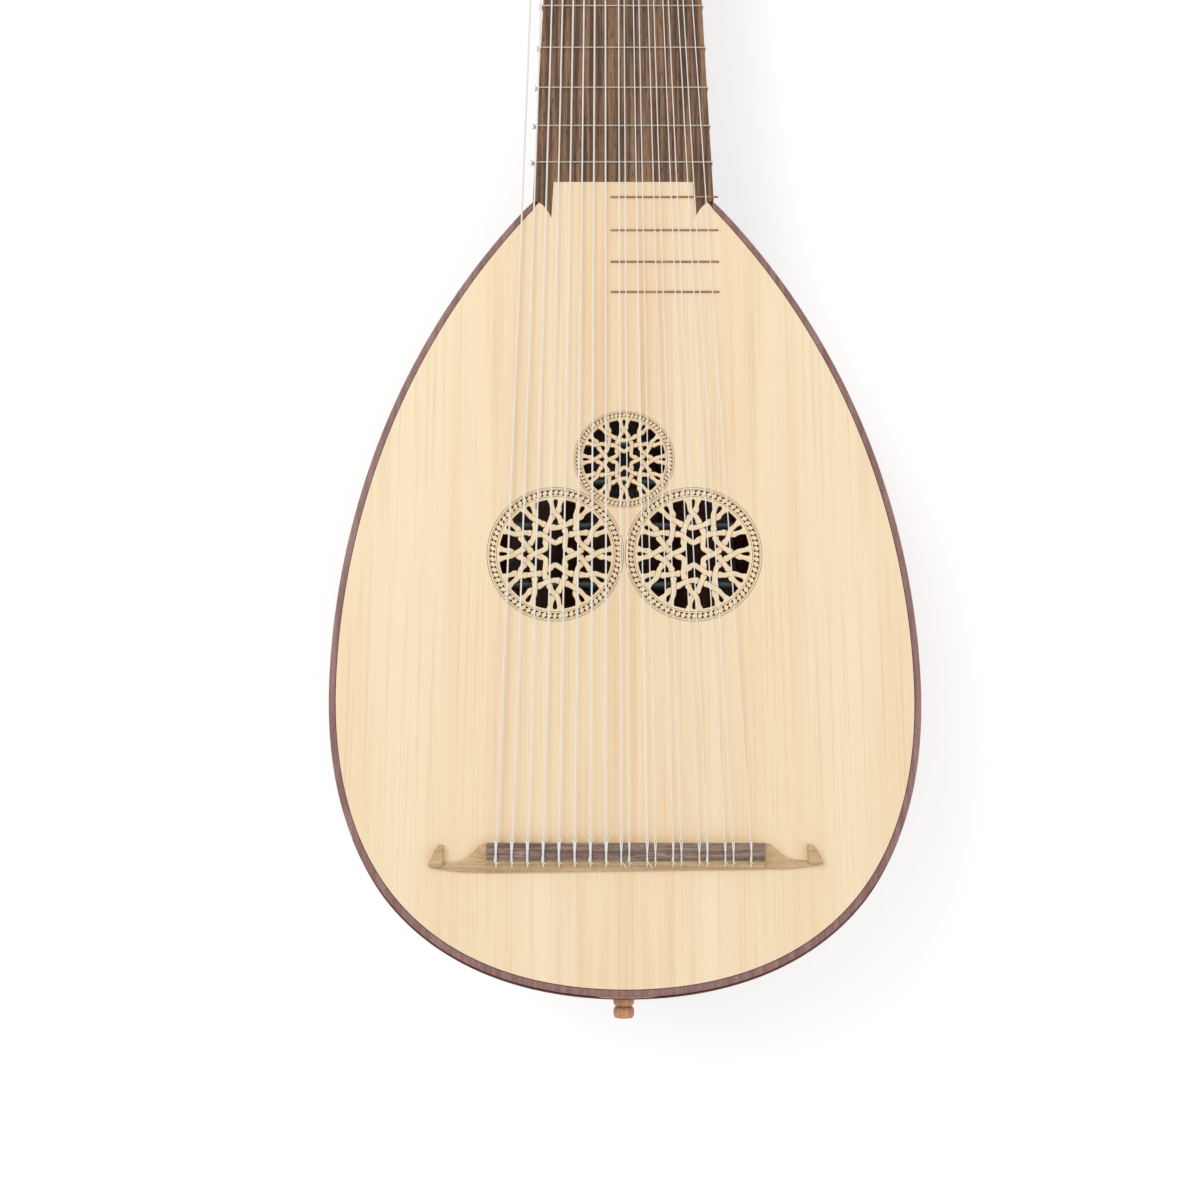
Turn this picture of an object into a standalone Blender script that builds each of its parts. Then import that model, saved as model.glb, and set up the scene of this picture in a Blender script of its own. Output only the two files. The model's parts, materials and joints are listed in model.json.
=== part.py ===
"""An archlute, lying on its back with the strings up.

The script models the bowl of nine ribs, the soundboard with its three carved roses, the neck, the
long head with its two pegboxes, and nineteen strings with their pegs. Everything is in metres.

The pieces are drawn in the instrument's own frame: x runs to the treble side, y from the bridge's
front edge up the neck, and z out of the soundboard, whose face is z = 0. One empty carries them all
and tips that frame until the bowl and the head both touch the ground.
"""

import math

import bmesh
import bpy
from mathutils import Vector
from mathutils.geometry import delaunay_2d_cdt

# Strings
STRING_LENGTH = 0.670
DIAPASON_LENGTH = 1.400
DIAPASONS = 8
DOUBLE_COURSES = 5
DIAPASON_PITCH_AT_BRIDGE = 0.0089
DIAPASON_PITCH_AT_NUT = 0.0037
COURSE_PITCH_AT_BRIDGE = 0.0147
COURSE_PITCH_AT_NUT = 0.0082
PAIR_PITCH_AT_BRIDGE = 0.0046
PAIR_PITCH_AT_NUT = 0.0033
LOWEST_COURSE_X = -0.0026
FIRST_DIAPASON_X = -0.0111
STOPPED_STRING_RADIUS = 0.00035
DIAPASON_RADIUS = 0.00055
STRING_Z_AT_BRIDGE = 0.0044
STRING_Z_AT_NUT = 0.0021
TIE_LENGTH = 0.0022

# Body. Its plan follows from the stopped strings' length, as a maker's does
BODY_HALF_WIDTH = STRING_LENGTH * 0.2585
WIDEST_Y = STRING_LENGTH * 0.1376
TAIL_Y = STRING_LENGTH * -0.1269
NECK_JOINT_Y = STRING_LENGTH * 0.5910
NECK_JOINT_ANGLE = math.radians(41.9)
UPPER_FULLNESS = STRING_LENGTH * 0.1024
JOINT_FULLNESS = STRING_LENGTH * 0.2215
LOWER_FULLNESS = STRING_LENGTH * 0.2007
TAIL_FULLNESS = STRING_LENGTH * 0.1343
RIBS = 9
RIB_THICKNESS = 0.0018
BOWL_DEPTH_RATIO = 0.93
NECK_DEPTH_RATIO = 0.74
DEPTH_EASE_START_Y = STRING_LENGTH * 0.224
RIB_TIP_HALF_WIDTH = 0.030
TAIL_BLOCK_LENGTH = 0.014
CLASP_DEPTH = 0.042
CLASP_END_DEPTH = 0.014
CLASP_THICKNESS = 0.0008
CLASP_CLEARANCE = 0.0007
CLASP_END_Y = 0.004
NECK_BLOCK_LENGTH = 0.050

# Soundboard
BOARD_THICKNESS = 0.0018
BINDING_WIDTH = 0.0042
BINDING_THICKNESS = 0.0008
LARGE_ROSE_RADIUS = STRING_LENGTH * 0.0501
SMALL_ROSE_RADIUS = STRING_LENGTH * 0.0373
LARGE_ROSE_X = STRING_LENGTH * 0.0615
LARGE_ROSE_Y = STRING_LENGTH * 0.2525
SMALL_ROSE_Y = STRING_LENGTH * 0.3397
STRAP_SHARE = 0.078
BAR_SHARES = (0.0896, 0.1567, 0.2260, 0.2797, 0.3203, 0.3558, 0.4254, 0.4925)
BAR_YS = tuple(STRING_LENGTH * share for share in BAR_SHARES)
BAR_WIDTH = 0.0045
BAR_HEIGHT = 0.014
BAR_END_HEIGHT = 0.005
BAR_END_CLEARANCE = 0.006
BODY_FRETS = (9, 10, 11, 12)
BODY_FRET_START_X = -0.008
BODY_FRET_END_X = 0.0595
BODY_FRET_WIDTH = 0.0012
FRET_HEIGHT = 0.0009

# Neck and fingerboard
NUT_HALF_WIDTH = 0.0460
NECK_JOINT_HALF_WIDTH = 0.0568
NECK_DEPTH_AT_JOINT = 0.0420
NECK_DEPTH_AT_NUT = 0.0260
NECK_PAST_NUT = 0.006
TIED_FRETS = 8
TIED_FRET_WIDTH = 0.0009
TONGUE_END_Y = NECK_JOINT_Y + 0.0129
TONGUE_HALF_WIDTH = 0.0438
POINT_TIP_X = 0.0450
POINT_TIP_Y = NECK_JOINT_Y - 0.0115
LOBE_X = 0.0530
LOBE_Y = NECK_JOINT_Y - 0.0013
NIB_X = 0.0546
NIB_Y = NECK_JOINT_Y - 0.0030
NUT_THICKNESS = 0.005
NUT_FALL = 0.0012

# Bridge
BRIDGE_HALF_LENGTH = 0.0788
CAP_WIDTH = 0.0101
CAP_THICKNESS = 0.0013
BRIDGE_BODY_HEIGHT = 0.0060
BRIDGE_DEPTH_BASS = 0.0169
BRIDGE_DEPTH_TREBLE = 0.0149
BRIDGE_FOOT_HEIGHT = 0.0012
WING_LENGTH = 0.0336
HOOK_HEIGHT = 0.0050
HOOK_BASE_WIDTH = 0.0085
HOOK_TOP_WIDTH = 0.0048
HOOK_LEAN = 0.0050

# Head, the two pegboxes and the shaft between them
HEAD_TILT = math.radians(1.1)
HEAD_DROP = 0.0010
LOWER_BOX_DEPTH = 0.0300
SHAFT_DEPTH = 0.0230
UPPER_BOX_DEPTH = 0.0280
SHAFT_WIDTH = 0.0320
TREBLE_WALL = 0.0066
UPPER_BOX_WIDTH = 0.0400
UPPER_WALL = 0.0090
CAVITY_FLOOR = 0.0055
BOX_FRONT_WALL = 0.0050
LOWER_PEG_PITCH = 0.0150
UPPER_PEG_PITCH = 0.0150
FIRST_LOWER_PEG = 0.0420
FIRST_UPPER_PEG = 0.0260
CAVITY_PAST_PEGS = 0.0220
SHOULDER_LENGTH = 0.0300
DIAPASON_NUT_HEIGHT = 0.0120
FINIAL_LENGTH = 0.0240

# Pegs
PEG_DEPTH = 0.0130
PEG_BIG_RADIUS = 0.0038
PEG_SMALL_RADIUS = 0.0029
BLIND_HOLE_DEPTH = 0.0140
COLLAR_GAP = 0.0010
THUMB_HALF_WIDTH = 0.0095
THUMB_HALF_THICKNESS = 0.0033
PEG_SIDES = 8

# End button
BUTTON_X = -0.0010
BUTTON_Z = -0.0180
BUTTON_RADIUS = 0.0060
BUTTON_GROOVE_RADIUS = 0.0042
BUTTON_LENGTH = 0.0118
BUTTON_SHANK_RADIUS = 0.0030
BUTTON_SHANK_LENGTH = 0.0120

# Gap left between pieces that touch, and how far fused shapes run into each other
SEAT = 0.0003
OVERLAP = 0.0004

OUTLINE_UPPER_STEPS = 14
OUTLINE_LOWER_STEPS = 20
ROSE_RIM_STEPS = 36
HOLE_SIDES = 12
SMOOTH_ANGLE = math.radians(35)


def clear_scene():
    for old in list(bpy.data.objects):
        bpy.data.objects.remove(old, do_unlink=True)


def material(name, colour, roughness, metallic=0.0):
    made = bpy.data.materials.new(name)
    made.use_nodes = True
    shader = made.node_tree.nodes["Principled BSDF"]
    shader.inputs["Base Color"].default_value = (*colour, 1.0)
    shader.inputs["Roughness"].default_value = roughness
    shader.inputs["Metallic"].default_value = metallic
    made.diffuse_color = (*colour, 1.0)
    return made


def add_object(name, mesh, finish, carrier):
    made = bpy.data.objects.new(name, mesh)
    if finish is not None:
        mesh.materials.append(finish)
    made.parent = carrier
    bpy.context.scene.collection.objects.link(made)
    return made


def finish_mesh(name, shape, smooth=True):
    """Turns the faces outwards and makes the mesh."""
    bmesh.ops.recalc_face_normals(shape, faces=shape.faces[:])
    mesh = bpy.data.meshes.new(name)
    shape.to_mesh(mesh)
    shape.free()
    if smooth:
        mesh.shade_smooth()
        mesh.set_sharp_from_angle(angle=SMOOTH_ANGLE)
    return mesh


def hide_helper(helper):
    helper.hide_render = True
    helper.display_type = "WIRE"


def boolean(target, helper, operation):
    hide_helper(helper)
    cut = target.modifiers.new(f"{operation.lower()}_{helper.name}", "BOOLEAN")
    cut.operation = operation
    cut.object = helper
    cut.solver = "EXACT"


def add_loft(shape, rings, closed=False):
    """Skins a row of rings, which all have the same number of corners. closed joins the last to the first."""
    rows = [[shape.verts.new(point) for point in ring] for ring in rings]
    sides = len(rows[0])
    following = rows[1:] + rows[:1] if closed else rows[1:]
    for ring, other in zip(rows, following):
        for i in range(sides):
            j = (i + 1) % sides
            shape.faces.new((ring[i], ring[j], other[j], other[i]))
    if not closed:
        shape.faces.new(rows[0][::-1])
        shape.faces.new(rows[-1])


def loft_mesh(name, lofts, smooth=True, closed=False):
    shape = bmesh.new()
    for rings in lofts:
        add_loft(shape, rings, closed)
    return finish_mesh(name, shape, smooth)


def block_rings(low, high):
    """The two end rings of a box between two opposite corners, along y."""
    return [
        [
            Vector((low[0], y, low[2])),
            Vector((high[0], y, low[2])),
            Vector((high[0], y, high[2])),
            Vector((low[0], y, high[2])),
        ]
        for y in (low[1], high[1])
    ]


def circle(radius, sides, turn=0.0):
    steps = [turn + math.tau * i / sides for i in range(sides)]
    return [(radius * math.cos(a), radius * math.sin(a)) for a in steps]


def bezier(start, pull_start, pull_end, end, steps):
    """Points along one cubic curve, both ends included."""
    points = []
    for i in range(steps + 1):
        t = i / steps
        s = 1 - t
        weights = (s**3, 3 * s * s * t, 3 * s * t * t, t**3)
        corners = (start, pull_start, pull_end, end)
        points.append(tuple(sum(w * p[k] for w, p in zip(weights, corners)) for k in (0, 1)))
    return points


def smoothstep(low, high, value):
    t = min(max((value - low) / (high - low), 0.0), 1.0)
    return t * t * (3 - 2 * t)


def mix(low, high, share):
    return low + (high - low) * share


def body_outline(coarseness=1):
    """Half of the body's outline, as (half width, y) from the neck joint down to the tail."""
    widest = (BODY_HALF_WIDTH, WIDEST_Y)
    joint = (NECK_JOINT_HALF_WIDTH, NECK_JOINT_Y)
    joint_pull = (
        NECK_JOINT_HALF_WIDTH + JOINT_FULLNESS * math.sin(NECK_JOINT_ANGLE),
        NECK_JOINT_Y - JOINT_FULLNESS * math.cos(NECK_JOINT_ANGLE),
    )
    upper = bezier(
        joint,
        joint_pull,
        (BODY_HALF_WIDTH, WIDEST_Y + UPPER_FULLNESS),
        widest,
        OUTLINE_UPPER_STEPS // coarseness,
    )
    lower = bezier(
        widest,
        (BODY_HALF_WIDTH, WIDEST_Y - LOWER_FULLNESS),
        (TAIL_FULLNESS, TAIL_Y),
        (0.0, TAIL_Y),
        OUTLINE_LOWER_STEPS // coarseness,
    )
    return upper + lower[1:]


def inset(outline, distance):
    """The outline moved inwards. Its first point keeps to the neck joint and its last to the centre line."""
    moved = []
    for i, (width, y) in enumerate(outline):
        before = outline[max(i - 1, 0)]
        after = outline[min(i + 1, len(outline) - 1)]
        along = Vector((after[0] - before[0], after[1] - before[1])).normalized()
        if i == 0:
            moved.append((width - distance / abs(along.y), y))
        elif i == len(outline) - 1:
            moved.append((0.0, y + distance))
        else:
            moved.append((width + along.y * distance, y - along.x * distance))
    return moved


def width_at(outline, y):
    """Half width of an outline at y, read between its points above the tail."""
    for (w0, y0), (w1, y1) in zip(outline, outline[1:]):
        if y1 <= y <= y0:
            return mix(w0, w1, (y0 - y) / (y0 - y1))
    return outline[-1][0]


def depth_ratio(y):
    ease = smoothstep(DEPTH_EASE_START_Y, NECK_JOINT_Y, y)
    return mix(BOWL_DEPTH_RATIO, NECK_DEPTH_RATIO, ease)


def bowl_point(width, y, turn):
    """A point of the bowl, at turn round from the treble edge of the soundboard."""
    return Vector((width * math.cos(turn), y, -depth_ratio(y) * width * math.sin(turn)))


def facet_edges(width, y, rib, top_z):
    """The two corners of one flat rib's section. The outer ribs stop at top_z, under the soundboard."""
    first = bowl_point(width, y, math.pi * rib / RIBS)
    second = bowl_point(width, y, math.pi * (rib + 1) / RIBS)
    if rib == 0:
        first = first.lerp(second, top_z / second.z)
    if rib == RIBS - 1:
        second = second.lerp(first, top_z / first.z)
    return first, second


def neck_half_width(y):
    share = (y - NECK_JOINT_Y) / (STRING_LENGTH - NECK_JOINT_Y)
    return mix(NECK_JOINT_HALF_WIDTH, NUT_HALF_WIDTH, share)


def fret_y(number):
    return STRING_LENGTH / 2 ** (number / 12)


def offset_line(points, distance):
    """An open line of (x, y) points moved to its left, with mitred corners."""
    moved = []
    for i, point in enumerate(points):
        before = Vector(points[i - 1]) if i else None
        after = Vector(points[i + 1]) if i < len(points) - 1 else None
        here = Vector(point)
        into = (here - before).normalized() if before is not None else (after - here).normalized()
        out = (after - here).normalized() if after is not None else into
        normal_in = Vector((-into.y, into.x))
        normal_out = Vector((-out.y, out.x))
        bisector = (normal_in + normal_out).normalized()
        moved.append(tuple(here + bisector * (distance / bisector.dot(normal_out))))
    return moved


def mirrored(points):
    return [(-x, y) for x, y in reversed(points)]


def board_joint_line():
    """Where soundboard and fingerboard meet on the treble side, from the neck's edge to the centre."""
    lobe = bezier(
        (LOBE_X, LOBE_Y),
        (LOBE_X - 0.0028, LOBE_Y - 0.0010),
        (POINT_TIP_X + 0.0022, POINT_TIP_Y + 0.0050),
        (POINT_TIP_X, POINT_TIP_Y),
        5,
    )
    corner = (NECK_JOINT_HALF_WIDTH, NECK_JOINT_Y)
    return [corner, (NIB_X, NIB_Y)] + lobe + [(TONGUE_HALF_WIDTH, TONGUE_END_Y)]


# The rose's straps, as (degrees from the strap's middle, share of the rose's radius)
DEEP_STRAP = (
    (0.0, 0.19),
    (23.0, 0.29),
    (33.0, 0.42),
    (46.6, 0.54),
    (55.0, 0.68),
    (60.0, 0.725),
    (63.8, 0.80),
    (64.3, 1.03),
)
SHALLOW_STRAP = (
    (0.0, 0.47),
    (17.7, 0.54),
    (28.4, 0.69),
    (33.5, 0.80),
    (34.3, 1.03),
)


def strap_loops(centre, radius):
    """The outlines of the twelve straps of one rose, six of each kind."""
    loops = []
    for half in (DEEP_STRAP, SHALLOW_STRAP):
        whole = [(-a, r) for a, r in reversed(half[1:])] + list(half)
        for turn in range(0, 360, 60):
            line = []
            for angle, share in whole:
                a = math.radians(angle + turn)
                line.append(
                    (
                        centre[0] + radius * share * math.sin(a),
                        centre[1] + radius * share * math.cos(a),
                    )
                )
            half_width = STRAP_SHARE * radius / 2
            left = offset_line(line, half_width)
            right = offset_line(line, -half_width)
            loops.append(left + right[::-1])
    return loops


def roses():
    return (
        ((-LARGE_ROSE_X, LARGE_ROSE_Y), LARGE_ROSE_RADIUS),
        ((LARGE_ROSE_X, LARGE_ROSE_Y), LARGE_ROSE_RADIUS),
        ((0.0, SMALL_ROSE_Y), SMALL_ROSE_RADIUS),
    )


def anticlockwise(loop):
    area = sum(x0 * y1 - x1 * y0 for (x0, y0), (x1, y1) in zip(loop, loop[1:] + loop[:1]))
    return loop if area > 0 else loop[::-1]


def plate_mesh(name, outer, holes, webs, low, high, core=None, shelf=None):
    """A flat plate with holes and with webs across them, cut as one drawing and given its thickness.

    Outside its core, if it has one, the plate is only as high as the shelf."""
    points = []
    loops = []
    cores = [core] if core else []
    for loop in map(anticlockwise, [outer] + holes + webs + cores):
        loops.append(list(range(len(points), len(points) + len(loop))))
        points.extend(Vector(point) for point in loop)
    flat, _, triangles, _, _, sources = delaunay_2d_cdt(points, [], loops, 0, 1e-7)
    first_web = 1 + len(holes)
    core_index = first_web + len(webs)
    kept = []
    for triangle, source in zip(triangles, sources):
        in_web = any(first_web <= index < core_index for index in source)
        in_hole = any(0 < index < first_web for index in source)
        if in_web or (0 in source and not in_hole):
            kept.append((triangle, core is None or core_index in source))
    shape = bmesh.new()
    layers = {"low": {}, "shelf": {}, "high": {}}
    heights = {"low": low, "shelf": shelf, "high": high}

    def corner(layer, i):
        if i not in layers[layer]:
            layers[layer][i] = shape.verts.new((flat[i].x, flat[i].y, heights[layer]))
        return layers[layer][i]

    edges = {}
    for triangle, in_core in kept:
        top = "high" if in_core else "shelf"
        shape.faces.new([corner(top, i) for i in triangle])
        shape.faces.new([corner("low", i) for i in reversed(triangle)])
        for edge in zip(triangle, triangle[1:] + triangle[:1]):
            edges[edge] = top
    for (i, j), top in edges.items():
        other = edges.get((j, i))
        if other is None:
            wall = [corner(top, j), corner(top, i)]
            wall += [layers["shelf"][i]] if top == "high" and i in layers["shelf"] else []
            wall += [corner("low", i), corner("low", j)]
            wall += [layers["shelf"][j]] if top == "high" and j in layers["shelf"] else []
            shape.faces.new(wall)
        elif top == "high" and other == "shelf":
            shape.faces.new((corner("high", j), corner("high", i), corner("shelf", i), corner("shelf", j)))
    return finish_mesh(name, shape, smooth=False)


def make_soundboard(finish, carrier):
    outline = inset(body_outline(), SEAT)
    joint = offset_line(board_joint_line(), SEAT / 2)
    side = NECK_JOINT_HALF_WIDTH - 2 * SEAT
    (x0, y0), (x1, y1) = joint[:2]
    joint[0] = (side, mix(y0, y1, (x0 - side) / (x0 - x1)))
    outline[0] = (outline[0][0], y0 - 2 * SEAT)
    joint[-1] = (joint[-1][0], TONGUE_END_Y - SEAT / 2)
    treble = outline[::-1] + joint
    loop = treble + mirrored(treble)[:-1]
    holes = []
    webs = []
    for centre, radius in roses():
        rim = circle(radius, ROSE_RIM_STEPS)
        holes.append([(centre[0] + x, centre[1] + y) for x, y in rim])
        webs.extend(strap_loops(centre, radius))
    core_half = beside_neck(inset(body_outline(), BINDING_WIDTH + SEAT), 0.0)[::-1] + joint
    core = core_half + mirrored(core_half)[:-1]
    shelf = -BINDING_THICKNESS - SEAT
    mesh = plate_mesh("soundboard", loop, holes, webs, -BOARD_THICKNESS, 0.0, core, shelf)
    board = add_object("soundboard", mesh, finish, carrier)

    bars = loft_mesh("bars", [bar_rings(y) for y in BAR_YS], smooth=False)
    boolean(board, add_object("soundboard_bars", bars, None, carrier), "UNION")

    frets = loft_mesh("body_frets", body_fret_lofts(), smooth=False)
    boolean(board, add_object("body_frets", frets, None, carrier), "UNION")
    return board


def beside_neck(line, end_gap):
    """An inset outline from the cut along the neck's side down to the tail."""
    side = NECK_JOINT_HALF_WIDTH - 2 * SEAT + end_gap
    for i, ((w0, y0), (w1, y1)) in enumerate(zip(line, line[1:])):
        if w0 <= side <= w1:
            return [(side, mix(y0, y1, (side - w0) / (w1 - w0)))] + line[i + 1 :]
    return [(side, line[0][1])] + line[1:]


def binding_rings():
    """Sections of the binding along the treble edge, from the neck to the tail."""
    outline = body_outline()
    outer = beside_neck(outline, SEAT)
    inner = beside_neck(inset(outline, BINDING_WIDTH), SEAT)
    outer = outer[:1] + outer[len(outer) - len(inner) + 1 :]
    outer[-1] = (SEAT / 2, outer[-1][1])
    inner[-1] = (SEAT / 2, inner[-1][1])
    return [
        [
            Vector((w0, y0, -BINDING_THICKNESS)),
            Vector((w1, y1, -BINDING_THICKNESS)),
            Vector((w1, y1, 0.0)),
            Vector((w0, y0, 0.0)),
        ]
        for (w0, y0), (w1, y1) in zip(outer, inner)
    ]


def bar_rings(y):
    """A soundboard bar, deep in the middle and scooped towards its ends."""
    half = width_at(body_outline(), y) - RIB_THICKNESS - BAR_END_CLEARANCE
    top = -BOARD_THICKNESS + OVERLAP
    rings = []
    for share in (-1.0, -0.86, -0.70, 0.70, 0.86, 1.0):
        fall = smoothstep(0.70, 1.0, abs(share))
        low = -BOARD_THICKNESS - mix(BAR_HEIGHT, BAR_END_HEIGHT, fall)
        x = share * half
        rings.append(
            [
                Vector((x, y - BAR_WIDTH / 2, low)),
                Vector((x, y + BAR_WIDTH / 2, low)),
                Vector((x, y + BAR_WIDTH / 2, top)),
                Vector((x, y - BAR_WIDTH / 2, top)),
            ]
        )
    return rings


def fret_section(x, y, low, width):
    """The domed section of a wooden fret."""
    half = width / 2
    return [
        Vector((x, y - half, low)),
        Vector((x, y + half, low)),
        Vector((x, y + half, FRET_HEIGHT * 0.6)),
        Vector((x, y, FRET_HEIGHT)),
        Vector((x, y - half, FRET_HEIGHT * 0.6)),
    ]


def body_fret_lofts():
    lofts = []
    for number in BODY_FRETS:
        y = fret_y(number)
        over_fingerboard = y > LOBE_Y
        end = TONGUE_HALF_WIDTH - 2 * SEAT if over_fingerboard else BODY_FRET_END_X
        lofts.append(
            [
                fret_section(BODY_FRET_START_X, y, -OVERLAP, BODY_FRET_WIDTH),
                fret_section(end, y, -OVERLAP, BODY_FRET_WIDTH),
            ]
        )
        if over_fingerboard:
            lofts.append(
                [
                    fret_section(end - 0.004, y, SEAT, BODY_FRET_WIDTH * 0.98),
                    fret_section(neck_half_width(y) - 0.001, y, SEAT, BODY_FRET_WIDTH * 0.98),
                ]
            )
    return lofts


def make_bindings(finish, carrier):
    for name, flip in (("binding_treble", 1), ("binding_bass", -1)):
        rings = [[Vector((flip * p.x, p.y, p.z)) for p in ring] for ring in binding_rings()]
        add_object(name, loft_mesh(name, [rings]), finish, carrier)


def make_ribs(finish, carrier):
    """Nine flat-sectioned ribs, which run from the neck joint to the tail block."""
    outer = [p for p in body_outline(2) if p[0] > RIB_TIP_HALF_WIDTH or p[1] > 0]
    tip = (RIB_TIP_HALF_WIDTH, tail_y_at(RIB_TIP_HALF_WIDTH))
    outer = outer + [tip]
    inner = inset(outer, RIB_THICKNESS)
    inner[-1] = (tip[0], tip[1] + RIB_THICKNESS)
    top_z = -BOARD_THICKNESS - SEAT
    ribs = []
    for rib in range(RIBS):
        rings = []
        for i, (skin, lining) in enumerate(zip(outer, inner)):
            ring = []
            for width, y in (skin, lining):
                y_here = y - SEAT / 2 if i == 0 else y
                first, second = facet_edges(width, y_here, rib, top_z)
                along = (second - first).normalized() * (SEAT / 2)
                ring.append((first + along, second - along))
            rings.append([ring[0][0], ring[0][1], ring[1][1], ring[1][0]])
        name = f"rib_{RIBS - rib}"
        ribs.append(add_object(name, loft_mesh(name, [rings]), finish, carrier))
    return ribs


def tail_y_at(width):
    """The y at which the outline has this half width, near the tail."""
    outline = body_outline()
    for (w0, y0), (w1, y1) in zip(outline, outline[1:]):
        if y1 < 0 and w1 <= width <= w0:
            return mix(y0, y1, (w0 - width) / (w0 - w1))
    return TAIL_Y


def clasp_shell():
    """A band round the tail on the nine facets, as thick as the clasp, closed at its edges."""
    outline = body_outline()
    shape = bmesh.new()
    layers = []
    for distance in (-CLASP_CLEARANCE, -CLASP_CLEARANCE - CLASP_THICKNESS):
        skin = inset(outline, distance)[::-1]
        line = [point for point in skin[1:] if point[1] < CLASP_END_Y]
        pole = shape.verts.new((0.0, skin[0][1], 0.0))
        grid = []
        for k in range(RIBS + 1):
            turn = math.pi * k / RIBS
            grid.append([pole] + [shape.verts.new(bowl_point(w, y, turn)) for w, y in line])
        for here, after in zip(grid, grid[1:]):
            shape.faces.new((pole, here[1], after[1]))
            for i in range(1, len(line)):
                shape.faces.new((here[i], here[i + 1], after[i + 1], after[i]))
        layers.append(grid)
    inside, outside = layers
    for side in (0, -1):
        pairs = list(zip(inside[side], outside[side]))
        for (in0, out0), (in1, out1) in zip(pairs, pairs[1:]):
            shape.faces.new((in0, in1, out1, out0))
    for k in range(RIBS):
        shape.faces.new((inside[k][-1], inside[k + 1][-1], outside[k + 1][-1], outside[k][-1]))
    return finish_mesh("end_clasp", shape)


def make_end_clasp(finish, carrier):
    """The clasp outside the ribs' tips, in one with the tail block inside them."""
    clasp = add_object("end_clasp", clasp_shell(), finish, carrier)
    rings = []
    for i in range(-5, 6):
        x = BODY_HALF_WIDTH * 1.1 * i / 5
        high = -mix(CLASP_DEPTH, CLASP_END_DEPTH, (i / 5) ** 2)
        low = -2 * BODY_HALF_WIDTH
        near, far = TAIL_Y - TAIL_BLOCK_LENGTH, CLASP_END_Y + TAIL_BLOCK_LENGTH
        corners = ((near, low), (far, low), (far, high), (near, high))
        rings.append([Vector((x, y, z)) for y, z in corners])
    trim = add_object("clasp_trim", loft_mesh("clasp_trim", [rings]), None, carrier)
    boolean(clasp, trim, "DIFFERENCE")

    block_width = RIB_TIP_HALF_WIDTH - 2 * SEAT
    top_z = -BOARD_THICKNESS - SEAT
    start_y = TAIL_Y - CLASP_CLEARANCE - CLASP_THICKNESS / 2
    rings = []
    for y in (tail_y_at(block_width) - CLASP_CLEARANCE - CLASP_THICKNESS / 2, TAIL_Y + TAIL_BLOCK_LENGTH):
        ring = [Vector((block_width - 3 * SEAT, y, top_z))]
        ring += [bowl_point(block_width, y, math.pi * k / RIBS) for k in range(1, RIBS)]
        ring += [Vector((3 * SEAT - block_width, y, top_z))]
        rings.append(ring)
    narrow = [Vector((p.x * 0.35, start_y, p.z * 0.35)) for p in rings[0]]
    narrow[0].z = top_z
    narrow[-1].z = top_z
    block = loft_mesh("tail_block", [[narrow] + rings], smooth=False)
    boolean(clasp, add_object("tail_block", block, None, carrier), "UNION")

    sides = circle(BUTTON_SHANK_RADIUS + SEAT, HOLE_SIDES)
    bore = [
        [Vector((BUTTON_X + x, y, BUTTON_Z + z)) for x, z in sides]
        for y in (TAIL_Y - BUTTON_LENGTH, TAIL_Y + BUTTON_SHANK_LENGTH + SEAT)
    ]
    boolean(clasp, add_object("button_bore", loft_mesh("button_bore", [bore]), None, carrier), "DIFFERENCE")
    return clasp


def make_neck_block(finish, carrier):
    """The block inside the bowl that the neck is glued and nailed to."""
    top_z = -BOARD_THICKNESS - SEAT
    stations = []
    for width, y in inset(body_outline(2), RIB_THICKNESS + 2 * SEAT)[:4]:
        ring = [facet_edges(width, y, rib, top_z)[0] for rib in range(RIBS)]
        ring.append(facet_edges(width, y, RIBS - 1, top_z)[1])
        stations.append(ring)
    high, low = NECK_JOINT_Y - 2 * SEAT, NECK_JOINT_Y - NECK_BLOCK_LENGTH
    between = [ring[0].y for ring in stations if low < ring[0].y < high]
    rings = []
    for y in [high, *between, low]:
        for near, far in zip(stations, stations[1:]):
            if far[0].y <= y <= near[0].y:
                share = (near[0].y - y) / (near[0].y - far[0].y)
                rings.append([a.lerp(b, share) for a, b in zip(near, far)])
                break
    return add_object("neck_block", loft_mesh("neck_block", [rings], smooth=False), finish, carrier)


def neck_section(y, grow=0.0):
    """The neck's D section: a flat top under the fingerboard and a rounded back."""
    share = (y - NECK_JOINT_Y) / (STRING_LENGTH - NECK_JOINT_Y)
    half = neck_half_width(y) + grow
    depth = mix(NECK_DEPTH_AT_JOINT, NECK_DEPTH_AT_NUT, share) + grow
    top = -BOARD_THICKNESS - SEAT
    power = mix(1.0, 0.88, min(max(share, 0), 1))
    points = []
    steps = 12
    for i in range(steps + 1):
        turn = math.pi * i / steps
        x = half * math.copysign(abs(math.cos(turn)) ** power, math.cos(turn))
        z = top + (top + depth - BOARD_THICKNESS) * -(math.sin(turn) ** power)
        points.append(Vector((x, y, z)))
    return points


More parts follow.
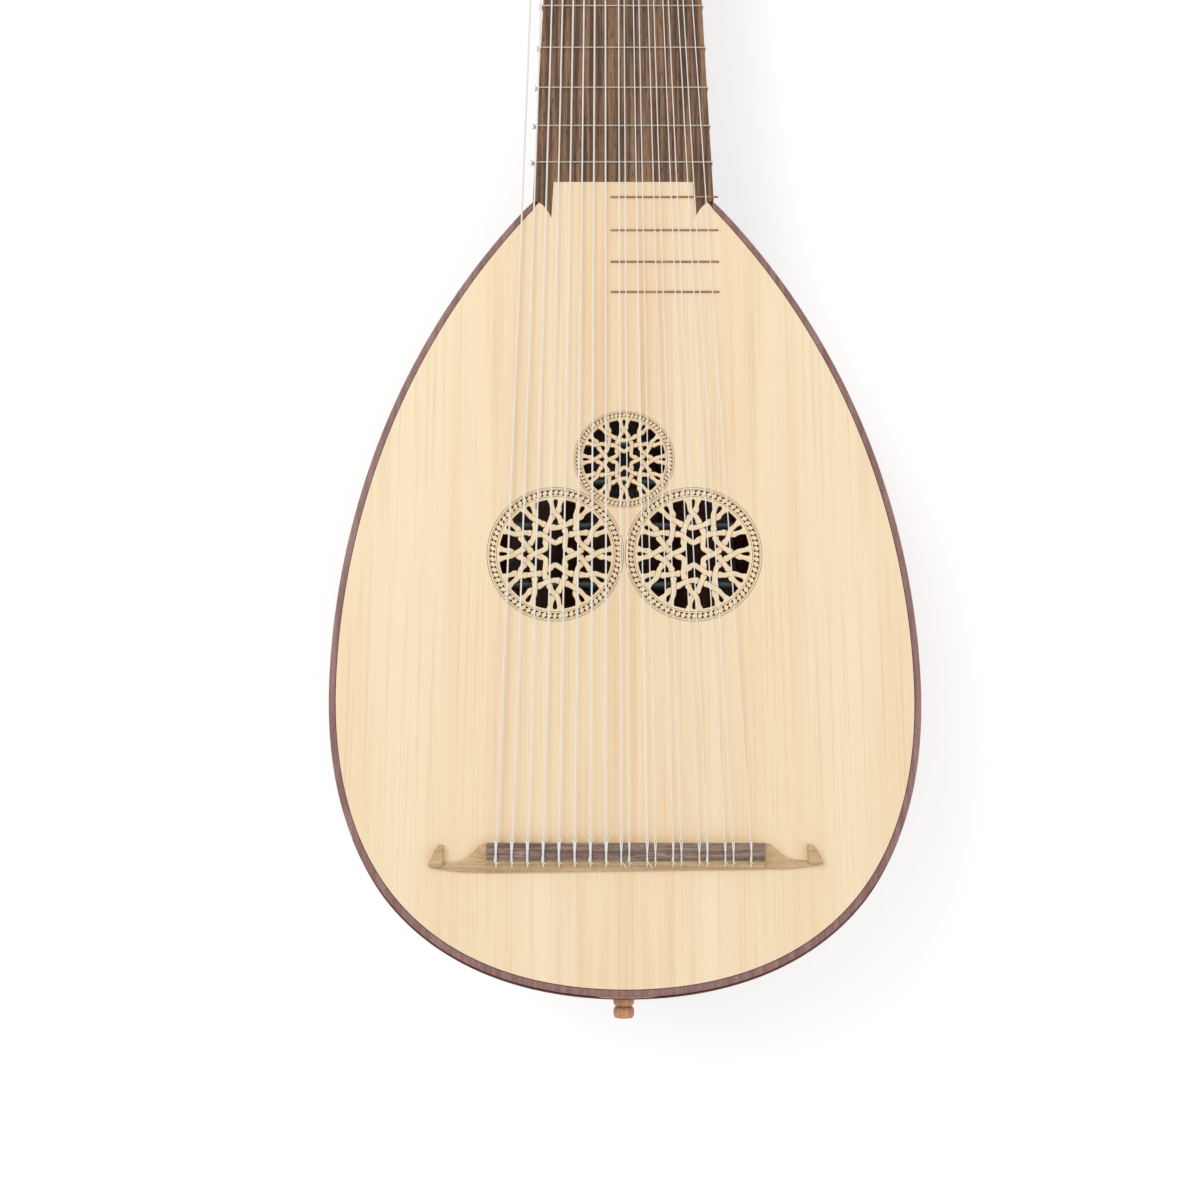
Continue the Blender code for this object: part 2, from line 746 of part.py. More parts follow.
def make_neck(finish, carrier):
    start = NECK_JOINT_Y + SEAT
    end = STRING_LENGTH + NECK_PAST_NUT
    ys = [mix(start, end, i / 4) for i in range(5)]
    neck = add_object("neck", loft_mesh("neck", [[neck_section(y) for y in ys]]), finish, carrier)
    loops = loft_mesh("tied_frets", [tied_fret_rings(n) for n in range(1, TIED_FRETS + 1)], closed=True)
    boolean(neck, add_object("tied_frets", loops, None, carrier), "UNION")
    knots = []
    for number in range(1, TIED_FRETS + 1):
        y = fret_y(number)
        x = -neck_half_width(y)
        low = (x - 2 * TIED_FRET_WIDTH, y - 1.2 * TIED_FRET_WIDTH, -0.0030)
        high = (x - 1.5 * SEAT, y + 1.2 * TIED_FRET_WIDTH, -0.0004)
        knots.append(block_rings(low, high))
    boolean(neck, add_object("fret_knots", loft_mesh("fret_knots", knots), None, carrier), "UNION")
    return neck


def tied_fret_rings(number):
    """A gut fret: round the neck's back, and across the fingerboard just clear of it."""
    y = fret_y(number)
    half = TIED_FRET_WIDTH / 2
    inside = neck_section(y, -OVERLAP / 2)
    outside = neck_section(y, TIED_FRET_WIDTH - OVERLAP / 2)
    edge = neck_half_width(y)
    inside = [Vector((edge + SEAT, y, SEAT))] + inside + [Vector((-edge - SEAT, y, SEAT))]
    top = FRET_HEIGHT
    outside = [Vector((edge + TIED_FRET_WIDTH, y, top))] + outside
    outside += [Vector((-edge - TIED_FRET_WIDTH, y, top))]
    inside[1] = Vector((edge + SEAT, y, -BOARD_THICKNESS))
    inside[-2] = Vector((-edge - SEAT, y, -BOARD_THICKNESS))
    rings = []
    for near, far in zip(inside, outside):
        step = Vector((0, half, 0))
        rings.append([near - step, far - step, far + step, near + step])
    return rings


def make_fingerboard(finish, carrier):
    joint = offset_line(board_joint_line(), -SEAT / 2)
    joint[0] = (NECK_JOINT_HALF_WIDTH, NECK_JOINT_Y + SEAT)
    joint[-1] = (joint[-1][0], TONGUE_END_Y + SEAT / 2)
    end_y = STRING_LENGTH - SEAT
    treble = [(neck_half_width(end_y), end_y)] + joint
    loop = treble + mirrored(treble)
    mesh = plate_mesh("fingerboard", loop, [], [], -BOARD_THICKNESS, 0.0)
    return add_object("fingerboard", mesh, finish, carrier)


def bridge_depth(x):
    share = (x + BRIDGE_HALF_LENGTH) / (2 * BRIDGE_HALF_LENGTH)
    return mix(BRIDGE_DEPTH_BASS, BRIDGE_DEPTH_TREBLE, min(max(share, 0), 1))


# One wing of the bridge, outwards from the body's end: the share of its length, where its front and
# rear edges lie as shares of the bridge's depth, and how high it is as a share of the body's height
WING = (
    (0.10, 0.02, 0.985, 0.96),
    (0.21, 0.26, 0.990, 0.66),
    (0.33, 0.47, 0.990, 0.42),
    (0.49, 0.63, 0.965, 0.31),
    (0.76, 0.67, 0.900, 0.28),
    (0.94, 0.71, 0.850, 0.28),
    (1.00, 0.76, 0.790, 0.26),
)


def bridge_section(x, front, rear, height, ledge):
    depth = bridge_depth(x)
    low = SEAT
    high = SEAT + height
    foot = min(BRIDGE_FOOT_HEIGHT, height * 0.6)
    ridge = max(-front * depth - ledge, -rear * depth + SEAT / 3)
    return [
        Vector((x, -front * depth, low)),
        Vector((x, -front * depth, high)),
        Vector((x, ridge, high)),
        Vector((x, -rear * depth, low + foot)),
        Vector((x, -rear * depth, low)),
    ]


def make_bridge(finish, carrier):
    """The pear-wood tie block with its wings, bored for the strings."""
    height = BRIDGE_BODY_HEIGHT - SEAT
    rings = []
    for side in (-1, 1):
        wing = []
        for out, front, rear, share in WING:
            x = side * (BRIDGE_HALF_LENGTH + out * WING_LENGTH)
            ledge = mix(0.25, 0.62, share) * CAP_WIDTH
            wing.append(bridge_section(x, front, rear, share * height, ledge))
        body = bridge_section(side * BRIDGE_HALF_LENGTH, 0.0, 1.0, height, CAP_WIDTH)
        rings += wing[::-1] + [body] if side < 0 else [body] + wing
    bridge = add_object("bridge", loft_mesh("bridge", [rings], smooth=False), finish, carrier)

    hooks = []
    for side in (-1, 1):
        depth = bridge_depth(side * BRIDGE_HALF_LENGTH)
        tip = BRIDGE_HALF_LENGTH + WING_LENGTH + SEAT
        base = (tip, tip - HOOK_BASE_WIDTH, -0.76 * depth)
        top = (tip - HOOK_LEAN, tip - HOOK_LEAN - HOOK_TOP_WIDTH, -0.07 * depth)
        rings = []
        for outer, inner, y in (base, top):
            corners = [(outer, SEAT), (inner, SEAT), (inner, HOOK_HEIGHT), (outer, HOOK_HEIGHT)]
            rings.append([Vector((side * x, y, z)) for x, z in corners])
        hooks.append(rings)
    boolean(bridge, add_object("bridge_hooks", loft_mesh("bridge_hooks", hooks), None, carrier), "UNION")

    bores = []
    for course in string_plan():
        reach = course["radius"] + SEAT
        section = circle(reach / math.cos(math.pi / 6), 6)
        bores.append(
            [
                [Vector((course["bridge_x"] + x, y, STRING_Z_AT_BRIDGE + z)) for x, z in section]
                for y in (CAP_WIDTH / 2, -BRIDGE_DEPTH_BASS - CAP_WIDTH / 2)
            ]
        )
    boolean(bridge, add_object("string_bores", loft_mesh("string_bores", bores), None, carrier), "DIFFERENCE")
    return bridge


def make_bridge_cap(finish, carrier):
    low = (-BRIDGE_HALF_LENGTH, -CAP_WIDTH, BRIDGE_BODY_HEIGHT + SEAT)
    high = (BRIDGE_HALF_LENGTH, 0.0, BRIDGE_BODY_HEIGHT + SEAT + CAP_THICKNESS)
    mesh = loft_mesh("bridge_cap", [block_rings(low, high)], smooth=False)
    cap = add_object("bridge_cap", mesh, finish, carrier)
    edge = cap.modifiers.new("eased_edges", "BEVEL")
    edge.width = CAP_THICKNESS * 0.2
    edge.segments = 1
    return cap


def head_top(y):
    return -HEAD_DROP - (y - head_start()) * math.tan(HEAD_TILT)


def head_start():
    return STRING_LENGTH + NECK_PAST_NUT + SEAT


def lower_peg_y(index):
    return STRING_LENGTH + FIRST_LOWER_PEG + index * LOWER_PEG_PITCH


def upper_peg_y(index):
    return DIAPASON_LENGTH + FIRST_UPPER_PEG + index * UPPER_PEG_PITCH


def stopped_count():
    return 2 * DOUBLE_COURSES + 1


def lower_cavity():
    """The lower pegbox's hollow, as its lowest and highest x and y."""
    last = lower_peg_y(stopped_count() - 1)
    return (
        -NUT_HALF_WIDTH + SHAFT_WIDTH,
        NUT_HALF_WIDTH - TREBLE_WALL,
        head_start() + BOX_FRONT_WALL,
        last + CAVITY_PAST_PEGS,
    )


def upper_box_middle():
    return FIRST_DIAPASON_X - DIAPASON_PITCH_AT_NUT * (DIAPASONS - 1) / 2


def upper_cavity():
    half = UPPER_BOX_WIDTH / 2 - UPPER_WALL
    middle = upper_box_middle()
    start = DIAPASON_LENGTH + NUT_THICKNESS + 0.006
    return (
        middle - half,
        middle + half,
        start,
        upper_peg_y(DIAPASONS - 1) + CAVITY_PAST_PEGS,
    )


def head_stations():
    """(y, lowest x, highest x, depth) along the head, from the neck to the finial."""
    start = head_start()
    box_end = lower_cavity()[3] + 0.006
    shaft_start = box_end + SHOULDER_LENGTH
    upper_start = DIAPASON_LENGTH - 0.020
    upper_end = upper_cavity()[3] + 0.007
    bass = -NUT_HALF_WIDTH
    shaft_treble = bass + SHAFT_WIDTH
    middle = upper_box_middle()
    half = UPPER_BOX_WIDTH / 2
    slim = SHAFT_WIDTH / 2 * 0.94
    stations = [
        (start, bass, NUT_HALF_WIDTH, NECK_DEPTH_AT_NUT),
        (start + 0.030, bass, NUT_HALF_WIDTH, LOWER_BOX_DEPTH),
        (box_end - 0.012, bass, NUT_HALF_WIDTH, LOWER_BOX_DEPTH),
    ]
    for i in range(1, 7):
        turn = math.pi / 2 * i / 6
        x = shaft_treble + (NUT_HALF_WIDTH - shaft_treble) * math.cos(turn)
        y = mix(box_end - 0.012, shaft_start, math.sin(turn) ** 1.0)
        depth = mix(LOWER_BOX_DEPTH, SHAFT_DEPTH, i / 6)
        stations.append((y, bass, max(x, shaft_treble + 0.0002 * (6 - i)), depth))
    stations += [
        (upper_start - 0.030, middle - slim, middle + slim, SHAFT_DEPTH),
        (upper_start, middle - slim - 0.001, middle + slim + 0.001, SHAFT_DEPTH + 0.001),
        (upper_start + 0.016, middle - half, middle + half, UPPER_BOX_DEPTH),
        (upper_end, middle - half * 0.94, middle + half * 0.94, UPPER_BOX_DEPTH),
    ]
    for share, width in ((0.20, 0.78), (0.42, 0.50), (0.62, 0.40), (0.80, 0.44), (0.93, 0.34)):
        y = upper_end + FINIAL_LENGTH * share
        stations.append((y, middle - half * width, middle + half * width, UPPER_BOX_DEPTH * (1 - 0.25 * share)))
    stations.append(
        (upper_end + FINIAL_LENGTH, middle - half * 0.16, middle + half * 0.16, UPPER_BOX_DEPTH * 0.6)
    )
    return stations


def head_section(y, low_x, high_x, depth):
    top = head_top(y)
    low = top - depth
    ease = min((high_x - low_x) * 0.30, depth * 0.30)
    return [
        Vector((low_x, y, top)),
        Vector((high_x, y, top)),
        Vector((high_x, y, low + ease)),
        Vector((high_x - ease * 0.35, y, low + ease * 0.35)),
        Vector((high_x - ease, y, low)),
        Vector((low_x + ease, y, low)),
        Vector((low_x + ease * 0.35, y, low + ease * 0.35)),
        Vector((low_x, y, low + ease)),
    ]


def cavity_rings(cavity, depth):
    """A pegbox hollow, its floor following the tilted top."""
    low_x, high_x, start, end = cavity
    rings = []
    for y in (start, end):
        top = head_top(y)
        rings.append(
            [
                Vector((low_x, y, top - depth + CAVITY_FLOOR)),
                Vector((high_x, y, top - depth + CAVITY_FLOOR)),
                Vector((high_x, y, top + 0.01)),
                Vector((low_x, y, top + 0.01)),
            ]
        )
    return rings


def peg_radius(peg, distance):
    """A peg's shank radius at this distance in from its wall."""
    return mix(PEG_BIG_RADIUS, PEG_SMALL_RADIUS, min(distance / peg["length"], 1.0))


def peg_plan():
    """Where each peg goes: its wall, the side that it enters from and the shank's length."""
    plan = []
    low_x, high_x, _, _ = lower_cavity()
    for index in range(stopped_count()):
        y = lower_peg_y(index)
        treble = index % 2 == 0
        side = 1 if treble else -1
        far = low_x - BLIND_HOLE_DEPTH if treble else NUT_HALF_WIDTH - 0.0015
        plan.append(
            {
                "name": f"peg_stopped_{index + 1}",
                "side": side,
                "wall": side * NUT_HALF_WIDTH,
                "y": y,
                "length": abs(far - side * NUT_HALF_WIDTH),
                "blind": treble,
            }
        )
    middle = upper_box_middle()
    box_end = upper_cavity()[3]
    for index in range(DIAPASONS):
        y = upper_peg_y(index)
        side = 1 if index % 2 == 0 else -1
        share = (y - DIAPASON_LENGTH) / (box_end + 0.007 - DIAPASON_LENGTH)
        half = UPPER_BOX_WIDTH / 2 * mix(1.0, 0.94, share)
        plan.append(
            {
                "name": f"peg_diapason_{index + 1}",
                "side": side,
                "wall": middle + side * half,
                "y": y,
                "length": 2 * half - 0.0015,
                "blind": False,
            }
        )
    for peg in plan:
        peg["z"] = head_top(peg["y"]) - PEG_DEPTH
    return plan


def make_head(finish, carrier, pegs):
    rings = [head_section(*station) for station in head_stations()]
    head = add_object("head", loft_mesh("head", [rings]), finish, carrier)
    low_x, high_x, start, _ = lower_cavity()
    ramp = block_rings(
        (low_x, head_start() - 0.01, head_top(start) - 0.0075),
        (high_x, start + 0.002, 0.01),
    )
    hollows = [
        ("lower_hollow", cavity_rings(lower_cavity(), LOWER_BOX_DEPTH)),
        ("string_ramp", ramp),
        ("upper_hollow", cavity_rings(upper_cavity(), UPPER_BOX_DEPTH)),
    ]
    for name, hollow in hollows:
        cutter = add_object(name, loft_mesh(name, [hollow], smooth=False), None, carrier)
        boolean(head, cutter, "DIFFERENCE")
    bores = []
    widen = SEAT / math.cos(math.pi / HOLE_SIDES)
    for peg in pegs:
        past = SEAT if peg["blind"] else 0.02
        ends = []
        for distance in (-0.02, peg["length"] + past):
            # The bore keeps the peg's taper past both ends of the shank
            taper = (PEG_SMALL_RADIUS - PEG_BIG_RADIUS) / peg["length"]
            radius = (PEG_BIG_RADIUS + taper * distance) / math.cos(math.pi / HOLE_SIDES) + widen
            x = peg["wall"] - peg["side"] * distance
            turned = circle(radius, HOLE_SIDES)
            ends.append([Vector((x, peg["y"] + a, peg["z"] + b)) for a, b in turned])
        bores.append(ends)
    cutter = add_object("peg_bores", loft_mesh("peg_bores", bores), None, carrier)
    boolean(head, cutter, "DIFFERENCE")
    return head


# A peg's head, outwards from the wall: distance, half width and half thickness
THUMB = (
    (0.0000, 0.0054, 0.0054),
    (0.0022, 0.0056, 0.0056),
    (0.0050, 0.0032, 0.0032),
    (0.0085, 0.0058, THUMB_HALF_THICKNESS * 0.95),
    (0.0135, THUMB_HALF_WIDTH, THUMB_HALF_THICKNESS),
    (0.0195, THUMB_HALF_WIDTH * 0.93, THUMB_HALF_THICKNESS * 0.9),
    (0.0240, THUMB_HALF_WIDTH * 0.45, THUMB_HALF_THICKNESS * 0.8),
    (0.0262, 0.0018, 0.0018),
)


def make_peg(peg, finish, carrier):
    """One turned peg. Its object stands on the joint's axis, at the pegbox wall."""
    stations = [(-peg["length"], PEG_SMALL_RADIUS, PEG_SMALL_RADIUS)]
    root = mix(PEG_BIG_RADIUS, PEG_SMALL_RADIUS, -COLLAR_GAP / peg["length"])
    stations.append((COLLAR_GAP - 0.0001, root, root))
    stations += [(COLLAR_GAP + out, wide, thick) for out, wide, thick in THUMB]
    rings = []
    for out, wide, thick in stations:
        section = circle(1.0, PEG_SIDES, math.pi / PEG_SIDES)
        grow = 1.0
        rings.append([Vector((out, a * thick * grow, b * wide * grow)) for a, b in section])
    made = add_object(peg["name"], loft_mesh(peg["name"], [rings]), finish, carrier)
    made.location = (peg["wall"], peg["y"], peg["z"])
    if peg["side"] < 0:
        made.rotation_euler = (0, 0, math.pi)
    return made


def string_plan():
    """Every string's place at the bridge and its nut, from the treble down to the longest diapason."""
    plan = []
    treble_bridge = LOWEST_COURSE_X + DOUBLE_COURSES * COURSE_PITCH_AT_BRIDGE
    treble_nut = LOWEST_COURSE_X + DOUBLE_COURSES * COURSE_PITCH_AT_NUT
    places = [(treble_bridge, treble_nut)]
    for course in range(DOUBLE_COURSES - 1, -1, -1):
        at_bridge = LOWEST_COURSE_X + course * COURSE_PITCH_AT_BRIDGE
        at_nut = LOWEST_COURSE_X + course * COURSE_PITCH_AT_NUT
        places.append((at_bridge + PAIR_PITCH_AT_BRIDGE, at_nut + PAIR_PITCH_AT_NUT))
        places.append((at_bridge, at_nut))
    for index, (at_bridge, at_nut) in enumerate(places):
        plan.append(
            {
                "name": f"string_stopped_{index + 1}",
                "bridge_x": at_bridge,
                "nut": Vector((at_nut, STRING_LENGTH, STRING_Z_AT_NUT)),
                "radius": STOPPED_STRING_RADIUS,
            }
        )
    nut_z = head_top(DIAPASON_LENGTH) + DIAPASON_NUT_HEIGHT + DIAPASON_RADIUS + SEAT
    for index in range(DIAPASONS):
        nut_x = FIRST_DIAPASON_X - index * DIAPASON_PITCH_AT_NUT
        plan.append(
            {
                "name": f"string_diapason_{index + 1}",
                "bridge_x": FIRST_DIAPASON_X - index * DIAPASON_PITCH_AT_BRIDGE,
                "nut": Vector((nut_x, DIAPASON_LENGTH, nut_z)),
                "radius": DIAPASON_RADIUS,
            }
        )
    return plan


def lane_x(index, count, cavity, radius):
    """Where along its peg a string is wound."""
    margin = 0.004 + radius
    return mix(cavity[1] - margin, cavity[0] + margin, index / (count - 1))


def string_route(string, peg, lane):
    """From the tie at the bridge, through its bore, over the nut and round the peg."""
    radius = string["radius"]
    x = string["bridge_x"]
    z = STRING_Z_AT_BRIDGE
    over = BRIDGE_BODY_HEIGHT + SEAT + CAP_THICKNESS + SEAT + radius
    beside = 2 * radius + 2 * SEAT
    rear = -mix(CAP_WIDTH, bridge_depth(x), 0.72)
    points = [
        Vector((x + beside, TIE_LENGTH, z)),
        Vector((x + beside, SEAT + radius, mix(z, over, 0.3))),
        Vector((x + beside, SEAT + radius, over)),
        Vector((x + beside * 0.4, -CAP_WIDTH * 0.5, over)),
        Vector((x, -CAP_WIDTH - SEAT - radius, over)),
        Vector((x, rear - 2 * DIAPASON_RADIUS - SEAT, z + SEAT)),
        Vector((x, rear - DIAPASON_RADIUS - SEAT, z)),
        Vector((x, 0.0, z)),
        string["nut"],
        string["nut"] + Vector((0, NUT_THICKNESS, -NUT_FALL)),
    ]
    reach = peg_radius(peg, abs(peg["wall"] - lane)) / math.cos(math.pi / PEG_SIDES) + SEAT + radius
    for degrees in (90, 55, 10, -35, -80):
        a = math.radians(degrees)
        points.append(Vector((lane, peg["y"] + reach * math.cos(a), peg["z"] + reach * math.sin(a))))
    return points


def make_string(string, points, finish, carrier):
    curve = bpy.data.curves.new(string["name"], "CURVE")
    curve.dimensions = "3D"
    curve.bevel_depth = string["radius"]
    curve.bevel_resolution = 0
    curve.use_fill_caps = True
    line = curve.splines.new("POLY")
    line.points.add(len(points) - 1)
    for knot, point in zip(line.points, points):
        knot.co = (*point, 1.0)
    curve.materials.append(finish)
    made = bpy.data.objects.new(string["name"], curve)
    made.parent = carrier
    bpy.context.scene.collection.objects.link(made)
    return made


def make_strings(finish, carrier, pegs):
    strings = string_plan()
    stopped = stopped_count()
    for index, string in enumerate(strings):
        if index < stopped:
            lane = lane_x(index, stopped, lower_cavity(), string["radius"])
        else:
            lane = lane_x(index - stopped, DIAPASONS, upper_cavity(), string["radius"])
        make_string(string, string_route(string, pegs[index], lane), finish, carrier)


def make_stopped_nut(finish, carrier):
    """The nut under the stopped courses, on the neck's end."""
    places = [s["nut"].x for s in string_plan()[: stopped_count()]]
    low_x = min(places) - 0.0025
    high_x = NUT_HALF_WIDTH - 0.0005
    top = STRING_Z_AT_NUT - STOPPED_STRING_RADIUS - SEAT
    rings = []
    for x in (low_x, high_x):
        rings.append(
            [
                Vector((x, STRING_LENGTH, -BOARD_THICKNESS)),
                Vector((x, STRING_LENGTH + NUT_THICKNESS, -BOARD_THICKNESS)),
                Vector((x, STRING_LENGTH + NUT_THICKNESS, top - NUT_FALL)),
                Vector((x, STRING_LENGTH, top)),
            ]
        )
    return add_object("stopped_nut", loft_mesh("stopped_nut", [rings], smooth=False), finish, carrier)


def make_diapason_nut(finish, carrier):
    """The tall nut that lifts the diapasons clear of the shaft."""
    places = [s["nut"].x for s in string_plan()[stopped_count() :]]
    y0 = DIAPASON_LENGTH
    y1 = DIAPASON_LENGTH + NUT_THICKNESS
    top = head_top(DIAPASON_LENGTH) + DIAPASON_NUT_HEIGHT
    foot = (min(places) + 0.0005, max(places) - 0.0005)
    crown = (min(places) - 0.0022, max(places) + 0.0022)
    rings = []
    for (low_x, high_x), z0, z1 in (
        (foot, head_top(y0) + SEAT, head_top(y1) + SEAT),
        (foot, top - 0.0060, top - 0.0062),
        (crown, top - 0.0030, top - 0.0034),
        (crown, top, top - NUT_FALL),
    ):
        rings.append(
            [
                Vector((low_x, y0, z0)),
                Vector((high_x, y0, z0)),
                Vector((high_x, y1, z1)),
                Vector((low_x, y1, z1)),
            ]
        )
    return add_object("diapason_nut", loft_mesh("diapason_nut", [rings], smooth=False), finish, carrier)


def make_end_button(finish, carrier):
    """The turned button on the tail: shank, two beads and the groove between them."""
    seat = TAIL_Y - CLASP_CLEARANCE - SEAT - CLASP_THICKNESS
    profile = [
        (seat + SEAT + BUTTON_SHANK_LENGTH, BUTTON_SHANK_RADIUS),
        (seat, BUTTON_SHANK_RADIUS),
        (seat, BUTTON_RADIUS * 0.86),
    ]
    waist = BUTTON_LENGTH * 0.46
    for centre, reach in ((BUTTON_LENGTH * 0.21, 0.0026), (BUTTON_LENGTH * 0.74, 0.0030)):
        for degrees in (60, 20, -20, -60):
            a = math.radians(degrees)
            swell = BUTTON_GROOVE_RADIUS + (BUTTON_RADIUS - BUTTON_GROOVE_RADIUS) * math.cos(a) ** 0.5
            profile.append((seat - centre + reach * math.sin(a) / math.sin(math.radians(60)), swell))
        if centre < waist:
            profile.append((seat - waist, BUTTON_GROOVE_RADIUS))
    profile.append((seat - BUTTON_LENGTH, BUTTON_RADIUS * 0.62))
    rings = []
    for y, radius in profile:
        rings.append([Vector((BUTTON_X + a, y, BUTTON_Z + b)) for a, b in circle(radius, 14)])
    return add_object("end_button", loft_mesh("end_button", [rings]), finish, carrier)


def lie_on_back(carrier, bowl, head):
    """Tips the frame until bowl and head touch the ground, and centres the box of it all over the origin."""

    def low(objects, angle):
        heights = []
        for piece in objects:
            for vertex in piece.data.vertices:
                heights.append(vertex.co.z * math.cos(angle) - vertex.co.y * math.sin(angle))
        return min(heights)

    flat, steep = 0.0, math.radians(20)
    for _ in range(50):
        angle = (flat + steep) / 2
        if low(bowl, angle) < low([head], angle):
            flat = angle
        else:
            steep = angle
    carrier.rotation_euler = (-angle, 0, 0)
    bpy.context.view_layer.update()
    graph = bpy.context.evaluated_depsgraph_get()
    corners = []
    for piece in carrier.children:
        if piece.hide_render:
            continue
        evaluated = piece.evaluated_get(graph)
        mesh = evaluated.to_mesh()
        corners += [evaluated.matrix_world @ vertex.co for vertex in mesh.vertices]
        evaluated.to_mesh_clear()
    middle = [(min(p[k] for p in corners) + max(p[k] for p in corners)) / 2 for k in (0, 1)]
    carrier.location = (-middle[0], -middle[1], -min(p.z for p in corners))
    bpy.context.view_layer.update()


def main():
    clear_scene()
    carrier = bpy.data.objects.new("instrument_frame", None)
    bpy.context.scene.collection.objects.link(carrier)
    spruce = material("spruce", (0.87, 0.72, 0.48), 0.55)
    plum = material("plum_ribs", (0.24, 0.11, 0.09), 0.35)
    binding = material("purple_binding", (0.22, 0.12, 0.11), 0.45)
    lining = material("lime_blocks", (0.72, 0.58, 0.40), 0.70)
    neck_wood = material("neck_veneer", (0.20, 0.12, 0.07), 0.40)
    walnut = material("walnut_fingerboard", (0.19, 0.11, 0.06), 0.50)
    cap_wood = material("dark_walnut", (0.14, 0.10, 0.08), 0.55)
    pear = material("pear_bridge", (0.58, 0.42, 0.24), 0.50)
    bone = material("bone", (0.85, 0.80, 0.68), 0.35)
    peg_wood = material("peg_plum", (0.20, 0.09, 0.05), 0.30)
    button_wood = material("button_plum", (0.43, 0.19, 0.09), 0.35)
    gut = material("gut", (0.80, 0.77, 0.68), 0.30)

    pegs = peg_plan()
    make_soundboard(spruce, carrier)
    make_bindings(binding, carrier)
    ribs = make_ribs(plum, carrier)
    make_end_clasp(plum, carrier)
    make_neck_block(lining, carrier)
    make_neck(neck_wood, carrier)
    make_fingerboard(walnut, carrier)
    make_stopped_nut(bone, carrier)
    make_bridge(pear, carrier)
    make_bridge_cap(cap_wood, carrier)
    head = make_head(neck_wood, carrier, pegs)
    make_diapason_nut(bone, carrier)
    make_end_button(button_wood, carrier)
    for peg in pegs:
        make_peg(peg, peg_wood, carrier)
    make_strings(gut, carrier, pegs)
    lie_on_back(carrier, ribs, head)


main()
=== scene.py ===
# %% [markdown]
# # An archlute, dressed for its picture
# An archlute is a long lute: a bowl of thin ribs, a spruce soundboard with carved roses, a fretted
# neck, and an extension that carries the long bass strings, the diapasons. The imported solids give
# its sizes and its moving pegs. This lesson makes the surfaces that an eye rests on: the grain, the
# woven roses, the gut ties and the turned pegs.

# %% Load the fixed frame
import json
import math

import bpy
import numpy as np
from mathutils import Matrix, Vector


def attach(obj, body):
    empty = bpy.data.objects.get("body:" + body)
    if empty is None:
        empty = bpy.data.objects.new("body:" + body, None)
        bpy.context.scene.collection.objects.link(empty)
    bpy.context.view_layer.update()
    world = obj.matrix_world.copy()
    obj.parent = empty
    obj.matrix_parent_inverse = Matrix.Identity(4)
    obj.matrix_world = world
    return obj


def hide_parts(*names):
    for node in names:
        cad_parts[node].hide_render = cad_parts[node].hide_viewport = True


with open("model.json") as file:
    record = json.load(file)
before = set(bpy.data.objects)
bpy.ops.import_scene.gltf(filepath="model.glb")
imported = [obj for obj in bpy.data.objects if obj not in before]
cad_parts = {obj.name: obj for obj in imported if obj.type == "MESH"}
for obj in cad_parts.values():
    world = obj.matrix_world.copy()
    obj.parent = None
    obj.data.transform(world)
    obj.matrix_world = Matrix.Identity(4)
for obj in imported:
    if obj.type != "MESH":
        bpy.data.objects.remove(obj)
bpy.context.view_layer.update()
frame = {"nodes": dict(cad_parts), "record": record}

# %% [markdown]
# The lute lies on its back, so its face is pitched by a few degrees. Every shape below is easier to
# think of in the lute's own frame: x across, y from the bridge's front edge to the nut, z out of
# the soundboard. One matrix, read from the soundboard's mount, carries a finished shape from there
# to the ground's frame. The other way would be to turn each object, but a turned object takes its
# wood pattern with it, so the turn goes into the mesh.

# %% The lute's own frame
mount = next(m for m in frame["record"]["mounts"] if m["name"] == "soundboard_face")
face_up = Vector(mount["axis"]).normalized()
PITCH = math.atan2(face_up.y, face_up.z)
MOUNT_ON_LUTE = Vector((0.110, 0.050, 0.0))
turn_down = Matrix.Rotation(-PITCH, 4, "X")
moved_by = Vector(mount["pos_m"]) - turn_down.to_3x3() @ MOUNT_ON_LUTE
to_ground = Matrix.Translation(moved_by) @ turn_down
print("the soundboard is pitched", round(math.degrees(PITCH), 2), "degrees")

# %% [markdown]
# These are the sizes that the visible pieces share. Those of the body follow from the stopped
# strings' length, as in a maker's drawing. The small ones are given in millimetres.

# %% Sizes that several pieces share
MM = 0.001
STRING_LENGTH = 0.670
DIAPASON_LENGTH = 1.400
BODY_HALF_WIDTH = STRING_LENGTH * 0.2585
WIDEST_Y = STRING_LENGTH * 0.1376
TAIL_Y = STRING_LENGTH * -0.1269
NECK_JOINT_Y = STRING_LENGTH * 0.5910
NECK_JOINT_HALF_WIDTH = 56.8 * MM
NUT_HALF_WIDTH = 46.0 * MM
BOARD_THICKNESS = 1.8 * MM
BINDING_WIDTH = 4.2 * MM
RIB_THICKNESS = 1.8 * MM
SEAT = 0.3 * MM
RIBS = 9
HEAD_TILT = math.radians(1.1)
HEAD_START = STRING_LENGTH + 6.3 * MM
BRIDGE_HALF_LENGTH = 78.8 * MM
CAP_WIDTH = 10.1 * MM
CAP_TOP = 7.6 * MM
STRING_Z_AT_BRIDGE = 4.4 * MM
STRING_Z_AT_NUT = 2.1 * MM
NECK_DEPTH_AT_JOINT = 42 * MM
NECK_DEPTH_AT_NUT = 26 * MM
LOWER_BOX_DEPTH = 30 * MM
UPPER_BOX_DEPTH = 28 * MM


def mix(low, high, share):
    return low + (high - low) * share


def clamp(share):
    return min(max(share, 0.0), 1.0)


def ease(low, high, value):
    t = clamp((value - low) / (high - low))
    return t * t * (3 - 2 * t)


print("the body is", round(2 * BODY_HALF_WIDTH / MM), "mm wide and",
      round((NECK_JOINT_Y - TAIL_Y) / MM), "mm long")

